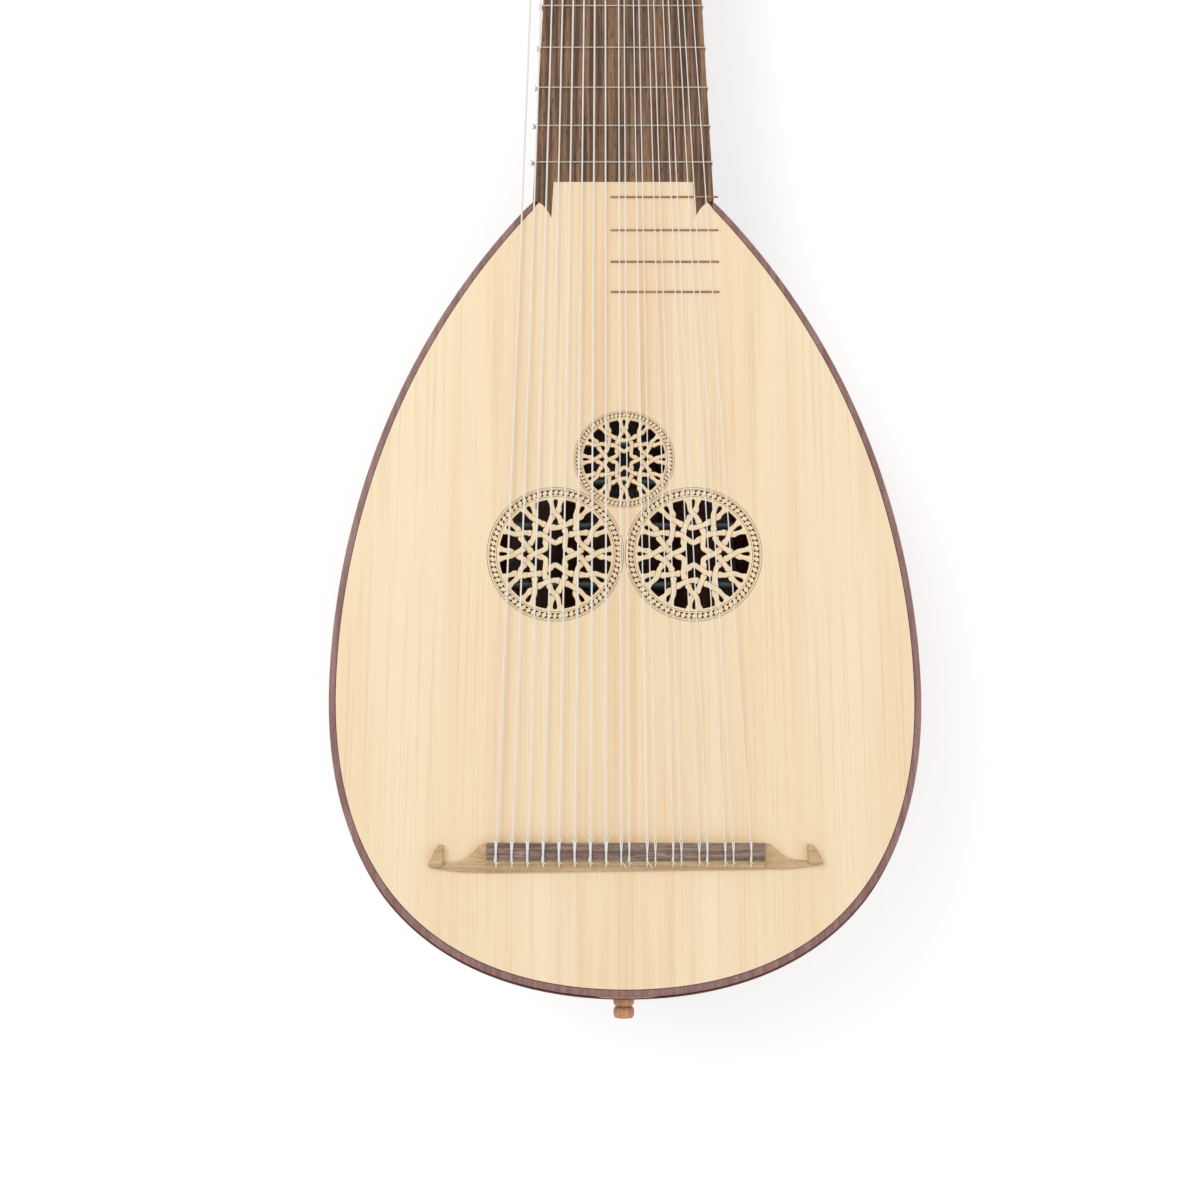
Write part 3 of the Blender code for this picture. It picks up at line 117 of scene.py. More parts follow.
# %% [markdown]
# ## Working by hand
# A piece starts as a primitive and is shaped in edit mode. An operator works on all that is
# selected, so the first helper lets go of everything. `loft` is the one used most: it lays a grid
# over a row of cross-sections, joins the grid's two long edges, closes its ends and turns its faces
# outwards, as planking is laid over a boat's frames. `finish` applies the modifiers, smooths the
# soft edges, carries the shape to the ground's frame and lets it ride on its body.

# %% Hands
SELECT_ALL = ("select_all", {"action": "SELECT"})
MERGE = ("remove_doubles", {"threshold": 1e-6})
FACE_OUT = ("normals_make_consistent", {"inside": False})


def let_go():
    if bpy.context.object and bpy.context.object.mode != "OBJECT":
        bpy.ops.object.mode_set(mode="OBJECT")
    bpy.ops.object.select_all(action="DESELECT")


def hold(piece):
    let_go()
    piece.select_set(True)
    bpy.context.view_layer.objects.active = piece


def edit(piece, *steps):
    """Runs mesh operators on the whole piece, each given as (operator name, its settings)."""
    hold(piece)
    bpy.ops.object.mode_set(mode="EDIT")
    bpy.ops.mesh.select_all(action="SELECT")
    for operator, settings in steps:
        getattr(bpy.ops.mesh, operator)(**settings)
    bpy.ops.object.mode_set(mode="OBJECT")
    return piece


def placed(name, mesh):
    piece = bpy.data.objects.new(name, mesh)
    bpy.context.scene.collection.objects.link(piece)
    return piece


def drawn(name, points, edges):
    """Loose lines, ready to be filled or spun."""
    drawing = bpy.data.meshes.new(name)
    drawing.from_pydata(points, edges, [])
    return placed(name, drawing)


def spun(name, profile, steps, centre, axis, closed):
    """The profile turned round an axis, as on a lathe."""
    count = len(profile)
    edges = [(i, (i + 1) % count) for i in range(count if closed else count - 1)]
    spin = {"steps": steps, "angle": 2 * math.pi, "center": centre, "axis": axis}
    return edit(drawn(name, profile, edges), ("spin", spin), SELECT_ALL, MERGE, FACE_OUT)


def loft(name, sections):
    """A closed skin over the sections, each of them a closed loop of points."""
    across = len(sections[0])
    along = len(sections) - 1
    let_go()
    bpy.ops.mesh.primitive_grid_add(x_subdivisions=across, y_subdivisions=along, size=1.0)
    piece = bpy.context.object
    piece.name = piece.data.name = name
    for vertex in piece.data.vertices:
        column = round((vertex.co.x + 0.5) * across)
        row = round((vertex.co.y + 0.5) * along)
        vertex.co = sections[row][column % across]
    return edit(piece, MERGE, ("fill_holes", {"sides": 0}), FACE_OUT)


def bevel(piece, width, segments=2, angle=35):
    soften = piece.modifiers.new("eased edges", "BEVEL")
    soften.width = width
    soften.segments = segments
    soften.limit_method = "ANGLE"
    soften.angle_limit = math.radians(angle)
    return piece


def carve(piece, cutter):
    hold(piece)
    cut = piece.modifiers.new("cut", "BOOLEAN")
    cut.operation = "DIFFERENCE"
    cut.solver = "EXACT"
    cut.object = cutter
    bpy.ops.object.modifier_apply(modifier=cut.name)
    bpy.data.objects.remove(cutter)
    return piece


def join(name, pieces):
    hold(pieces[0])
    for piece in pieces:
        piece.select_set(True)
    bpy.ops.object.join()
    joined = bpy.context.object
    joined.name = joined.data.name = name
    return joined


def apply_modifiers(piece):
    hold(piece)
    for modifier in list(piece.modifiers):
        bpy.ops.object.modifier_apply(modifier=modifier.name)


def finish(piece, wood, stands_for=(), body="instrument", smooth=35):
    """Applies, smooths, grounds and hangs the piece on its body."""
    apply_modifiers(piece)
    bpy.ops.object.shade_smooth_by_angle(angle=math.radians(smooth))
    piece.data.transform(to_ground)
    if wood is not None:
        piece.data.materials.clear()
        piece.data.materials.append(wood)
    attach(piece, body)
    if stands_for:
        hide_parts(*stands_for)
    print(piece.name, "-", len(piece.data.polygons), "faces")
    return piece


print("the hands know how to edit, draw, spin, loft, bevel, carve, join and finish")

# %% [markdown]
# ## The outline
# A lute's outline is drawn with a few arcs. Two Bezier curves meet at the widest place: one rises
# to the neck and one rounds the tail. The solids use the same curves in few steps, and the picture
# needs more, so that the silhouette is smooth.

# %% The body's outline
JOINT_ANGLE = math.radians(41.9)
JOINT_PULL = STRING_LENGTH * 0.2215
UPPER_PULL = STRING_LENGTH * 0.1024
LOWER_PULL = STRING_LENGTH * 0.2007
TAIL_PULL = STRING_LENGTH * 0.1343


def bezier(start, pull_start, pull_end, end, steps):
    line = []
    for i in range(steps + 1):
        t = i / steps
        weights = ((1 - t) ** 3, 3 * t * (1 - t) ** 2, 3 * t * t * (1 - t), t**3)
        corners = (start, pull_start, pull_end, end)
        line.append(tuple(sum(w * c[k] for w, c in zip(weights, corners)) for k in (0, 1)))
    return line


def body_outline(steps=44):
    """Half the outline as (half width, y), from the neck joint to the tail."""
    joint = (NECK_JOINT_HALF_WIDTH, NECK_JOINT_Y)
    joint_pull = (
        NECK_JOINT_HALF_WIDTH + JOINT_PULL * math.sin(JOINT_ANGLE),
        NECK_JOINT_Y - JOINT_PULL * math.cos(JOINT_ANGLE),
    )
    widest = (BODY_HALF_WIDTH, WIDEST_Y)
    above = (BODY_HALF_WIDTH, WIDEST_Y + UPPER_PULL)
    below = (BODY_HALF_WIDTH, WIDEST_Y - LOWER_PULL)
    upper = bezier(joint, joint_pull, above, widest, steps)
    lower = bezier(widest, below, (TAIL_PULL, TAIL_Y), (0.0, TAIL_Y), round(steps * 1.5))
    return upper + lower[1:]


def inset(outline, distance):
    """The outline moved inwards, its ends kept at the neck joint and on the centre line."""
    moved = []
    for i, (width, y) in enumerate(outline):
        before = outline[max(i - 1, 0)]
        after = outline[min(i + 1, len(outline) - 1)]
        along = Vector((after[0] - before[0], after[1] - before[1])).normalized()
        if i == 0:
            moved.append((width - distance / abs(along.y), y))
        elif i == len(outline) - 1:
            moved.append((0.0, y + distance))
        else:
            moved.append((width + along.y * distance, y - along.x * distance))
    return moved


OUTLINE = body_outline()
print("the outline has", len(OUTLINE), "points on each side")

# %% [markdown]
# ## Finishes
# A material is a small sum over the surface. To keep such sums readable, one class wraps a socket
# and lets Python's + - * add the Math nodes, and one method adds any other node. Patterns read
# the place in the lute's own frame, so that the grain runs straight along the strings.

# %% A notation for materials
def paint(red, green, blue):
    """A colour as it looks on a screen, 0 to 255, as the renderer's linear light."""
    linear = [(c / 255) ** 2.2 for c in (red, green, blue)]
    return (*linear, 1.0)


class Wire:
    """A socket whose operators add Math nodes."""

    def __init__(self, recipe, socket):
        self.recipe = recipe
        self.socket = socket

    def sum(self, operation, first, second=0.0):
        return self.recipe.node("Math", {"operation": operation}, {0: first, 1: second})

    def __add__(self, other):
        return self.sum("ADD", self, other)

    __radd__ = __add__

    def __mul__(self, other):
        return self.sum("MULTIPLY", self, other)

    __rmul__ = __mul__

    def __sub__(self, other):
        return self.sum("SUBTRACT", self, other)

    def __rsub__(self, other):
        return self.sum("SUBTRACT", other, self)

    def size(self):
        return self.sum("ABSOLUTE", self)

    def between(self, low, high):
        """0 at low, 1 at high, eased and clamped."""
        settings = {"interpolation_type": "SMOOTHSTEP"}
        sockets = {"Value": self, "From Min": low, "From Max": high}
        return self.recipe.node("MapRange", settings, sockets)


class Finish:
    """A material under construction. Steady values go straight on its shader's sockets."""

    def __init__(self, name, **steady):
        self.material = bpy.data.materials.new(name)
        self.material.use_nodes = True
        self.tree = self.material.node_tree
        self.shader = next(n for n in self.tree.nodes if n.type == "BSDF_PRINCIPLED")
        for socket, value in steady.items():
            self.shader.inputs[socket.replace("_", " ")].default_value = value

    def node(self, kind, settings, sockets, output=0):
        made = self.tree.nodes.new("ShaderNode" + kind)
        for key, value in settings.items():
            setattr(made, key, value)
        for key, value in sockets.items():
            if isinstance(value, Wire):
                self.tree.links.new(value.socket, made.inputs[key])
            else:
                made.inputs[key].default_value = value
        return Wire(self, made.outputs[output])

    def place(self):
        """Where a point is in the lute's own frame, in metres."""
        to_lute = to_ground.inverted()
        settings = {"Rotation": to_lute.to_euler(), "Location": to_lute.to_translation()}
        here = self.node("TexCoord", {}, {}, "Object")
        return self.node("Mapping", {}, {"Vector": here, **settings})

    def stretch(self, where, x, y, z, centre=(0.0, 0.0, 0.0)):
        sockets = {"Vector": where, "Scale": (x, y, z), "Location": centre}
        return self.node("Mapping", {}, sockets)

    def along(self, where, axis):
        return self.node("SeparateXYZ", {}, {"Vector": where}, axis)

    def noise(self, where, detail=3.0, roughness=0.55, distortion=0.0):
        grit = {"Detail": detail, "Roughness": roughness, "Distortion": distortion}
        return self.node("TexNoise", {}, {"Vector": where, "Scale": 1.0, **grit})

    def blend(self, mask, first, second):
        """The second colour where the mask is 1."""
        return self.node("Mix", {"data_type": "RGBA"}, {0: mask, 6: first, 7: second}, 2)

    def feed(self, **wires):
        for socket, wire in wires.items():
            self.tree.links.new(wire.socket, self.shader.inputs[socket.replace("_", " ")])

    def bump(self, height, distance, strength=1.0):
        sockets = {"Height": height, "Distance": distance, "Strength": strength}
        self.feed(Normal=self.node("Bump", {}, sockets))


def tell(*materials):
    for material in materials:
        print(material.name, "-", len(material.node_tree.nodes), "nodes")


print("a screen's middle grey is", round(paint(128, 128, 128)[0], 3), "of full light")

# %% [markdown]
# Spruce is cut on the quarter, so its year rings show as fine straight lines about a millimetre
# apart, and the two halves are opened like a book, which mirrors them at the centre joint. Across
# the lines lies a faint silk, where the cut follows the wood's rays; its figure is the wood's own,
# and its lighter colour is a painted sheen. The rings come from noise that is stretched a
# hundredfold along the grain; a wave texture would be too regular.

# %% Spruce for the soundboard and the roses
def spruce_wood(name, carved=False):
    spruce = Finish(name, Roughness=0.46, Coat_Weight=0.12, Coat_Roughness=0.3, IOR=1.45)
    where = spruce.place()
    x = spruce.along(where, 0)
    half = spruce.node("CombineXYZ", {}, {0: x.size(), 1: spruce.along(where, 1), 2: 0.0})
    rings = spruce.noise(spruce.stretch(half, 820, 5.5, 1), detail=2.0, roughness=0.5)
    broad = spruce.noise(spruce.stretch(half, 95, 2.2, 1, (3.0, 1.0, 0.0)), detail=3.0)
    wide = spruce.noise(spruce.stretch(half, 17, 1.4, 1, (7.0, 4.0, 0.0)), detail=2.0)
    silk_and_sheen = spruce.noise(spruce.stretch(where, 260, 1500, 1), detail=2.0, roughness=0.6)
    pale = paint(250, 228, 192)
    base = spruce.blend(wide.between(0.36, 0.68), pale, paint(246, 220, 180))
    base = spruce.blend(broad.between(0.48, 0.74) * 0.36, base, paint(240, 207, 165))
    line = rings.between(0.50, 0.66)
    base = spruce.blend(line * 0.25, base, paint(222, 178, 128))
    heart = (1 - x.size().between(0.004, 0.046)) * broad.between(0.47, 0.60)
    base = spruce.blend(heart * 0.34, base, paint(236, 192, 152))
    joint = 1 - x.size().between(0.00008, 0.00022)
    base = spruce.blend(joint * 0.30, base, paint(196, 148, 104))
    # The silk's ray figure is the wood's own; lightening its colour here is a painted sheen.
    base = spruce.blend(silk_and_sheen.between(0.50, 0.74) * 0.24, base, paint(255, 240, 212))
    # Carved pieces get painted shade: darker where they lie below the board's face, and darker
    # still along the line that the 'cut' attribute marks beside a crossing strap.
    if carved:
        cut = spruce.node("Attribute", {"attribute_name": "cut"}, {}, 2)
        z = spruce.along(where, 2)
        low = 1 - z.between(-0.0011, -0.00030)
        base = spruce.blend(low * 0.55, base, paint(160, 112, 70))
        base = spruce.blend(cut * 0.85, base, paint(112, 70, 42))
    spruce.feed(Base_Color=base, Roughness=0.40 + silk_and_sheen * 0.12 + line * 0.06)
    spruce.bump(rings * 0.5 + silk_and_sheen * 0.25, 0.00006, 0.35)
    return spruce.material


soundboard_spruce = spruce_wood("soundboard spruce")
carved_spruce = spruce_wood("carved spruce", carved=True)
tell(soundboard_spruce, carved_spruce)

# %% [markdown]
# The trenches of the ring of blocks and the scribed lines beside them get painted shade, a dark
# colour, so that the pale blocks stand out of them.

# %% Painted shade for the cuts
# Painted shade: a dark brown with a little mottle, for the trenches and grooves round the roses.
burnt = Finish("painted trench shade", Roughness=0.75)
where = burnt.place()
shade_mottle = burnt.noise(burnt.stretch(where, 2500, 2500, 2500), detail=2.0)
burnt.feed(Base_Color=burnt.blend(shade_mottle, paint(46, 26, 16), paint(78, 46, 28)))
painted_trench_shade = burnt.material
tell(painted_trench_shade)

# %% [markdown]
# Every other wood here is a hardwood: long fibres, pores that show as short dark dashes, and a
# figure of slow bands. One recipe with different colours, pore sizes and gloss makes them all,
# which keeps them a family, as woods under one varnish are. `fibres` says which way they run.
# A `bent` piece has its fibres bent with it, so its pattern follows an attribute made by the piece.

# %% Hardwoods
def hardwood(name, pale, dark, pore, fibres=(1, 30, 1), gloss=0.4, bands=120, pores=2600,
             figure=0.0, warp=0.0, depth=0.00008, coat=0.15, contrast=1.0, bent=False):
    """Pale, dark and pore are screen colours. Fibres says how much longer than wide a mark is."""
    wood = Finish(name, Coat_Weight=coat, Coat_Roughness=0.25, IOR=1.46)
    pale, dark, pore = (paint(*colour) for colour in (pale, dark, pore))
    where = wood.node("Attribute", {"attribute_name": "grain"}, {}, 1) if bent else wood.place()
    sizes = [bands / f for f in fibres]
    slow = wood.noise(wood.stretch(where, *sizes), detail=4.0, roughness=0.6, distortion=warp)
    fine = wood.noise(wood.stretch(where, *[s * 7 for s in sizes]), detail=3.0, roughness=0.6)
    holes = wood.noise(wood.stretch(where, *[pores / (f**0.72) for f in fibres]), detail=1.0)
    base = wood.blend(slow.between(0.5 - 0.16 / contrast, 0.5 + 0.16 / contrast), pale, dark)
    base = wood.blend(fine.between(0.45, 0.7) * 0.35, base, dark)
    mark = holes.between(0.60, 0.68)
    base = wood.blend(mark * 0.7, base, pore)
    rough = gloss + fine * 0.12 + mark * 0.15
    height = fine * 0.4 - mark
    if figure:
        curl = wood.noise(wood.stretch(where, *[figure * f**0.5 / 3 for f in fibres]), detail=1.0)
        base = wood.blend(curl.between(0.45, 0.62) * 0.22, base, pale)
    wood.feed(Base_Color=base, Roughness=rough)
    wood.bump(height, depth, 0.5)
    return wood.material


rib_plum = hardwood("rib plum", (150, 84, 58), (104, 52, 38), (60, 28, 22), fibres=(1, 26, 1),
                    gloss=0.24, bands=110, coat=0.5, figure=160, bent=True)
binding_wood = hardwood("binding purpleheart", (158, 120, 114), (126, 90, 86), (84, 54, 54),
                        fibres=(1, 12, 1), gloss=0.42, bands=300, pores=3000)
binding_edge = hardwood("binding dark line", (70, 42, 42), (48, 28, 30), (30, 18, 18))
fingerboard_walnut = hardwood("fingerboard walnut", (150, 114, 84), (84, 60, 44), (48, 32, 24),
                              fibres=(1, 48, 1), gloss=0.5, bands=420, pores=1700, contrast=1.5,
                              coat=0.0, depth=0.00012)
cap_walnut = hardwood("cap walnut", (160, 136, 120), (104, 82, 70), (58, 44, 38),
                      fibres=(22, 1, 1), gloss=0.5, bands=520, pores=2200, coat=0.0, warp=0.6,
                      depth=0.00014)
bridge_pear = hardwood("bridge pear", (213, 183, 140), (188, 152, 108), (140, 104, 68),
                       fibres=(26, 1, 1), gloss=0.42, bands=360, pores=2400, warp=0.4)
neck_wood = hardwood("neck walnut", (112, 74, 50), (62, 38, 26), (34, 20, 14),
                     fibres=(1, 40, 1), gloss=0.3, bands=240, pores=1500, coat=0.35)
peg_plum = hardwood("peg plum", (122, 62, 38), (74, 34, 22), (44, 20, 14),
                    fibres=(20, 1, 1), gloss=0.22, bands=420, coat=0.4)
button_plum = hardwood("button plum", (214, 158, 118), (180, 124, 86), (122, 76, 50),
                       fibres=(1, 12, 1), gloss=0.3, bands=700, pores=3000, coat=0.3)
fret_wood = hardwood("fret plum", (188, 142, 118), (146, 98, 78), (112, 68, 52),
                     fibres=(14, 1, 1), bands=900, pores=3200)
block_lime = hardwood("block lime", (214, 184, 140), (192, 158, 114), (160, 124, 84))
bar_spruce = hardwood("bar spruce", (216, 182, 134), (186, 148, 100), (150, 112, 72),
                      fibres=(30, 1, 1), gloss=0.6, coat=0.0)
tell(rib_plum, binding_wood, fingerboard_walnut, cap_walnut, bridge_pear, neck_wood, peg_plum)

# %% [markdown]
# Gut and bone: gut strings are pale and let some light through, so a part of the light is
# transmitted and the rest is a soft gloss. Two of the strings are painted whiter, a painted
# highlight.

# %% Gut, bone and the rods' painted shade
def string_stuff(name, colour, shade, through, gloss):
    gut = Finish(name, Transmission_Weight=through, IOR=1.45, Coat_Weight=0.2)
    where = gut.place()
    cloud = gut.noise(gut.stretch(where, 900, 60, 900), detail=2.0)
    gut.feed(Base_Color=gut.blend(cloud, colour, shade), Roughness=gloss + cloud * 0.12)
    gut.bump(cloud, 0.00002, 0.3)
    return gut.material


gut_string = string_stuff("gut string", paint(254, 250, 242), paint(244, 236, 224), 0.12, 0.24)
# A painted highlight: two strings get this whiter colour for the light that they catch.
painted_highlight_string = string_stuff("string painted highlight", paint(252, 252, 252), paint(240, 240, 242), 0.05, 0.26)
fret_gut = string_stuff("fret gut", paint(222, 212, 200), paint(204, 192, 180), 0.12, 0.30)
bone = string_stuff("bone", paint(240, 230, 206), paint(226, 212, 182), 0.0, 0.28)

# The rods' dark teal-grey is painted shade, the shade under the board inside the bowl. The noise
# only varies its tone.
rod = Finish("rod painted shade", Coat_Weight=0.3)
where = rod.place()
grime = rod.noise(rod.stretch(where, 60, 900, 900), detail=3.0)
rod_shade_colour = rod.blend(grime, paint(52, 62, 62), paint(74, 84, 82))
rod.feed(Base_Color=rod_shade_colour, Roughness=0.35 + grime * 0.2)
rod_painted_shade = rod.material
print(len(bpy.data.materials), "materials are ready")

# %% [markdown]
# ## The soundboard
# The real board is two thin quartersawn halves, glued on the centre line, with three roses cut
# right through it. Here its outline and the three round openings are drawn as edges, filled as one
# face, and extruded down. The fingerboard's two points let into its top, so the same line as the
# solids' joint closes it there.

# %% Where the soundboard ends at the neck
SIDE_CUT = NECK_JOINT_HALF_WIDTH - 2 * SEAT
TONGUE_END_Y = NECK_JOINT_Y + 12.9 * MM
TONGUE_HALF_WIDTH = 43.8 * MM
POINT_TIP = (45.0 * MM, NECK_JOINT_Y - 11.5 * MM)
LOBE = (53.0 * MM, NECK_JOINT_Y - 1.3 * MM)
NIB = (54.6 * MM, NECK_JOINT_Y - 3.0 * MM)


def board_joint():
    """The joint with the fingerboard on the treble side, from the edge to the tongue's corner."""
    curve = bezier(
        LOBE,
        (LOBE[0] - 2.8 * MM, LOBE[1] - 1.0 * MM),
        (POINT_TIP[0] + 2.2 * MM, POINT_TIP[1] + 5.0 * MM),
        POINT_TIP,
        10,
    )
    return [NIB] + curve + [(TONGUE_HALF_WIDTH, TONGUE_END_Y - SEAT / 2)]


def below_side_cut(line):
    """The part of an inset outline below the cut beside the neck, starting on the cut."""
    for i, ((w0, y0), (w1, y1)) in enumerate(zip(line, line[1:])):
        if w0 <= SIDE_CUT <= w1:
            return [(SIDE_CUT, mix(y0, y1, (SIDE_CUT - w0) / (w1 - w0)))] + line[i + 1 :]
    return [(SIDE_CUT, line[0][1])] + line[1:]


def mirrored(line):
    return [(-x, y) for x, y in reversed(line)]


LARGE_ROSE_X = STRING_LENGTH * 0.0615
LARGE_ROSE_Y = STRING_LENGTH * 0.2525
SMALL_ROSE_Y = STRING_LENGTH * 0.3397
LARGE_ROSE = STRING_LENGTH * 0.0501
SMALL_ROSE = STRING_LENGTH * 0.0373
ROSES = {
    "bass": (Vector((-LARGE_ROSE_X, LARGE_ROSE_Y, 0)), LARGE_ROSE),
    "treble": (Vector((LARGE_ROSE_X, LARGE_ROSE_Y, 0)), LARGE_ROSE),
    "small": (Vector((0, SMALL_ROSE_Y, 0)), SMALL_ROSE),
}
BORDER = 1.2165
ROUND = 144


def ring_points(centre, radius):
    turns = [2 * math.pi * i / ROUND for i in range(ROUND)]
    return [(centre.x + radius * math.cos(a), centre.y + radius * math.sin(a)) for a in turns]


def flat_plate(name, loops, top, bottom):
    """Fills the drawn loops as one face, the inner ones as holes, and extrudes it down."""
    points, edges = [], []
    for loop in loops:
        first = len(points)
        points += [(x, y, top) for x, y in loop]
        edges += [(first + i, first + (i + 1) % len(loop)) for i in range(len(loop))]
    down = {"TRANSFORM_OT_translate": {"value": (0, 0, bottom - top)}}
    fill = ("fill", {"use_beauty": True})
    plate = drawn(name, points, edges)
    return edit(plate, fill, ("extrude_region_move", down), SELECT_ALL, FACE_OUT)


print("the fingerboard's points reach", round((NECK_JOINT_Y - POINT_TIP[1]) / MM, 1), "mm in")


# %% The board itself
half_board = below_side_cut(inset(OUTLINE, BINDING_WIDTH))[::-1] + board_joint()
board_loop = half_board + mirrored(half_board)[:-1]
openings = [ring_points(centre, radius * BORDER) for centre, radius in ROSES.values()]
soundboard = flat_plate("soundboard_plate", [board_loop, *openings], 0.0, -BOARD_THICKNESS)
bevel(soundboard, 0.08 * MM, 1, 60)
finish(soundboard, soundboard_spruce, ["soundboard"])

# %% [markdown]
# ## The roses' borders
# Round each rose run fine scribed lines and a ring of chip-carved blocks. The border is turned: one
# profile, with its grooves and its trench, is spun round the rose's centre. Each block is a slanted
# hexagon, extruded and softened, then copied round the ring, so that chips are left between, dark
# with painted shade.

# %% The turned border
TRENCH = -0.60 * MM
SCRIBED = -0.20 * MM
BORDER_BOTTOM = -1.7 * MM
OUTER = LARGE_ROSE / MM * BORDER


def groove(at, half_width):
    return [(at - half_width, 0), (at, SCRIBED), (at + half_width, 0)]


# Distance from the rose's centre, in mm of a large rose, and height.
BORDER_PROFILE = [(33.6, BORDER_BOTTOM), (33.6, -0.22 * MM), (33.8, 0)]
BORDER_PROFILE += groove(35.1, 0.13)
BORDER_PROFILE += [(35.95, 0), (36.0, TRENCH), (39.1, TRENCH), (39.15, 0)]
BORDER_PROFILE += groove(39.6, 0.12) + groove(40.7, 0.12)
BORDER_PROFILE += [(OUTER, 0), (OUTER, BORDER_BOTTOM)]


def turned_border(side):
    centre, radius = ROSES[side]
    k = radius / LARGE_ROSE * MM
    corners = [(centre.x + r * k, centre.y, z) for r, z in BORDER_PROFILE]
    border = spun("rose_border_" + side, corners, ROUND, centre, (0, 0, 1), closed=True)
    border.data.materials.append(carved_spruce)
    border.data.materials.append(painted_trench_shade)
    # Faces down in the grooves and the trench take the painted shade.
    for face in border.data.polygons:
        out = (face.center - centre).xy.length / k
        in_cut = -1.6 * MM < face.center.z < -0.05 * MM
        face.material_index = int(in_cut and 34.6 < out < 41)
    return border


print("the border's profile has", len(BORDER_PROFILE), "points")


# %% One chip-carved block, and its ring
BLOCKS = 72
BLOCK_PLAN = ((-0.10, -1.5), (1.0, -1.5), (1.5, 0.2), (0.10, 1.5), (-1.0, 1.5), (-1.5, -0.2))


def block_ring(side):
    centre, radius = ROSES[side]
    k = radius / LARGE_ROSE * MM
    middle = 37.55 * k
    let_go()
    bpy.ops.mesh.primitive_circle_add(vertices=6, radius=1.0, fill_type="NGON")
    block = bpy.context.object
    for vertex, (round_way, outwards) in zip(block.data.vertices, BLOCK_PLAN):
        vertex.co = (middle + outwards * k, round_way * k, -0.5 * MM)
    lift = {"TRANSFORM_OT_translate": {"value": (0, 0, 0.36 * MM)}}
    crown = {"thickness": 0.30 * k, "depth": 0.12 * MM}
    edit(block, ("extrude_region_move", lift), ("inset", crown))
    edit(block, FACE_OUT)
    ring = [block]
    for i in range(1, BLOCKS):
        copy = placed("block", block.data.copy())
        copy.data.transform(Matrix.Rotation(2 * math.pi * i / BLOCKS, 4, "Z"))
        ring.append(copy)
    blocks = join("rose_blocks_" + side, ring)
    blocks.data.transform(Matrix.Translation(centre))
    return blocks


for side in ROSES:
    finish(turned_border(side), None)
    finish(block_ring(side), carved_spruce, smooth=50)

# %% [markdown]
# ## The interlaced straps
# This is the most skilled work on the lute: twelve straps in each rose, six that dip deep towards
# the centre and six shallow ones, woven over and under all the way. They are carved from the board,
# so an under strap is cut down only beside the strap that crosses it, and a thin line of painted
# shade lies along that strap's edge. Each strap is a ribbon lofted along its line. Code finds every
# crossing and walks along the straps, alternating over and under, so that the weave comes out right
# everywhere, as it must in a true interlace. Where a strap comes out from under another, the knife
# leaves a small nub on both its sides, which `NUB` gives as a share of its width. At the rim each
# strap flares into the board on one side, so the slots between two strap ends look like drops.
# `cut` remembers where the line of painted shade is, for the spruce's colour.

# %% The straps' lines
STRAP_WIDTH = 0.086
NUB = 0.30
FLARE = 0.75
SLOT_STEP = math.pi / 6
SLOT_CUT = 0.30
ROUND_FROM = 0.955
# Degrees from the strap's middle, and distance from the centre as a share of the rose's radius.
DEEP = ((0, 0.19), (23, 0.29), (33, 0.42), (46.6, 0.54), (55, 0.68), (60, 0.725), (63.8, 0.80),
        (64.3, 1.02))
SHALLOW = ((0, 0.47), (17.7, 0.54), (28.4, 0.69), (33.5, 0.80), (34.3, 1.02))


def strap_line(half, turn, step=0.009):
    """One strap's middle line in units of the rose's radius, rounded and evenly stepped."""
    whole = [(-a, r) for a, r in reversed(half[1:])] + list(half)
    turned = [(math.radians(a + turn), r) for a, r in whole]
    line = np.array([(r * math.sin(a), r * math.cos(a)) for a, r in turned])
    for keep in (0.85, 0.80):
        cut_corners = [line[0]]
        for first, second in zip(line, line[1:]):
            cut_corners.append(first * keep + second * (1 - keep))
            cut_corners.append(first * (1 - keep) + second * keep)
        line = np.array(cut_corners + [line[-1]])
    pieces = np.linalg.norm(np.diff(line, axis=0), axis=1)
    gone = np.concatenate([[0], np.cumsum(pieces)])
    even = np.linspace(0, gone[-1], round(gone[-1] / step))
    return np.stack([np.interp(even, gone, line[:, k]) for k in (0, 1)], axis=1)


STRAPS = [strap_line(half, turn) for half in (DEEP, SHALLOW) for turn in range(0, 360, 60)]


def crossings():
    """Every meeting of two straps, as (strap, how far along, other strap, how far along it)."""
    found = []
    for a in range(len(STRAPS)):
        for b in range(a + 1, len(STRAPS)):
            p, q = STRAPS[a], STRAPS[b]
            d, e = np.diff(p, axis=0), np.diff(q, axis=0)
            cross = d[:, None, 0] * e[None, :, 1] - d[:, None, 1] * e[None, :, 0]
            cross = np.where(abs(cross) < 1e-12, 1e-12, cross)
            gap = q[None, :-1] - p[:-1, None]
            s = (gap[..., 0] * e[None, :, 1] - gap[..., 1] * e[None, :, 0]) / cross
            t = (gap[..., 0] * d[:, None, 1] - gap[..., 1] * d[:, None, 0]) / cross
            for i, j in np.argwhere((s >= 0) & (s < 1) & (t >= 0) & (t < 1)):
                found.append((a, i + s[i, j], b, j + t[i, j]))
    return found


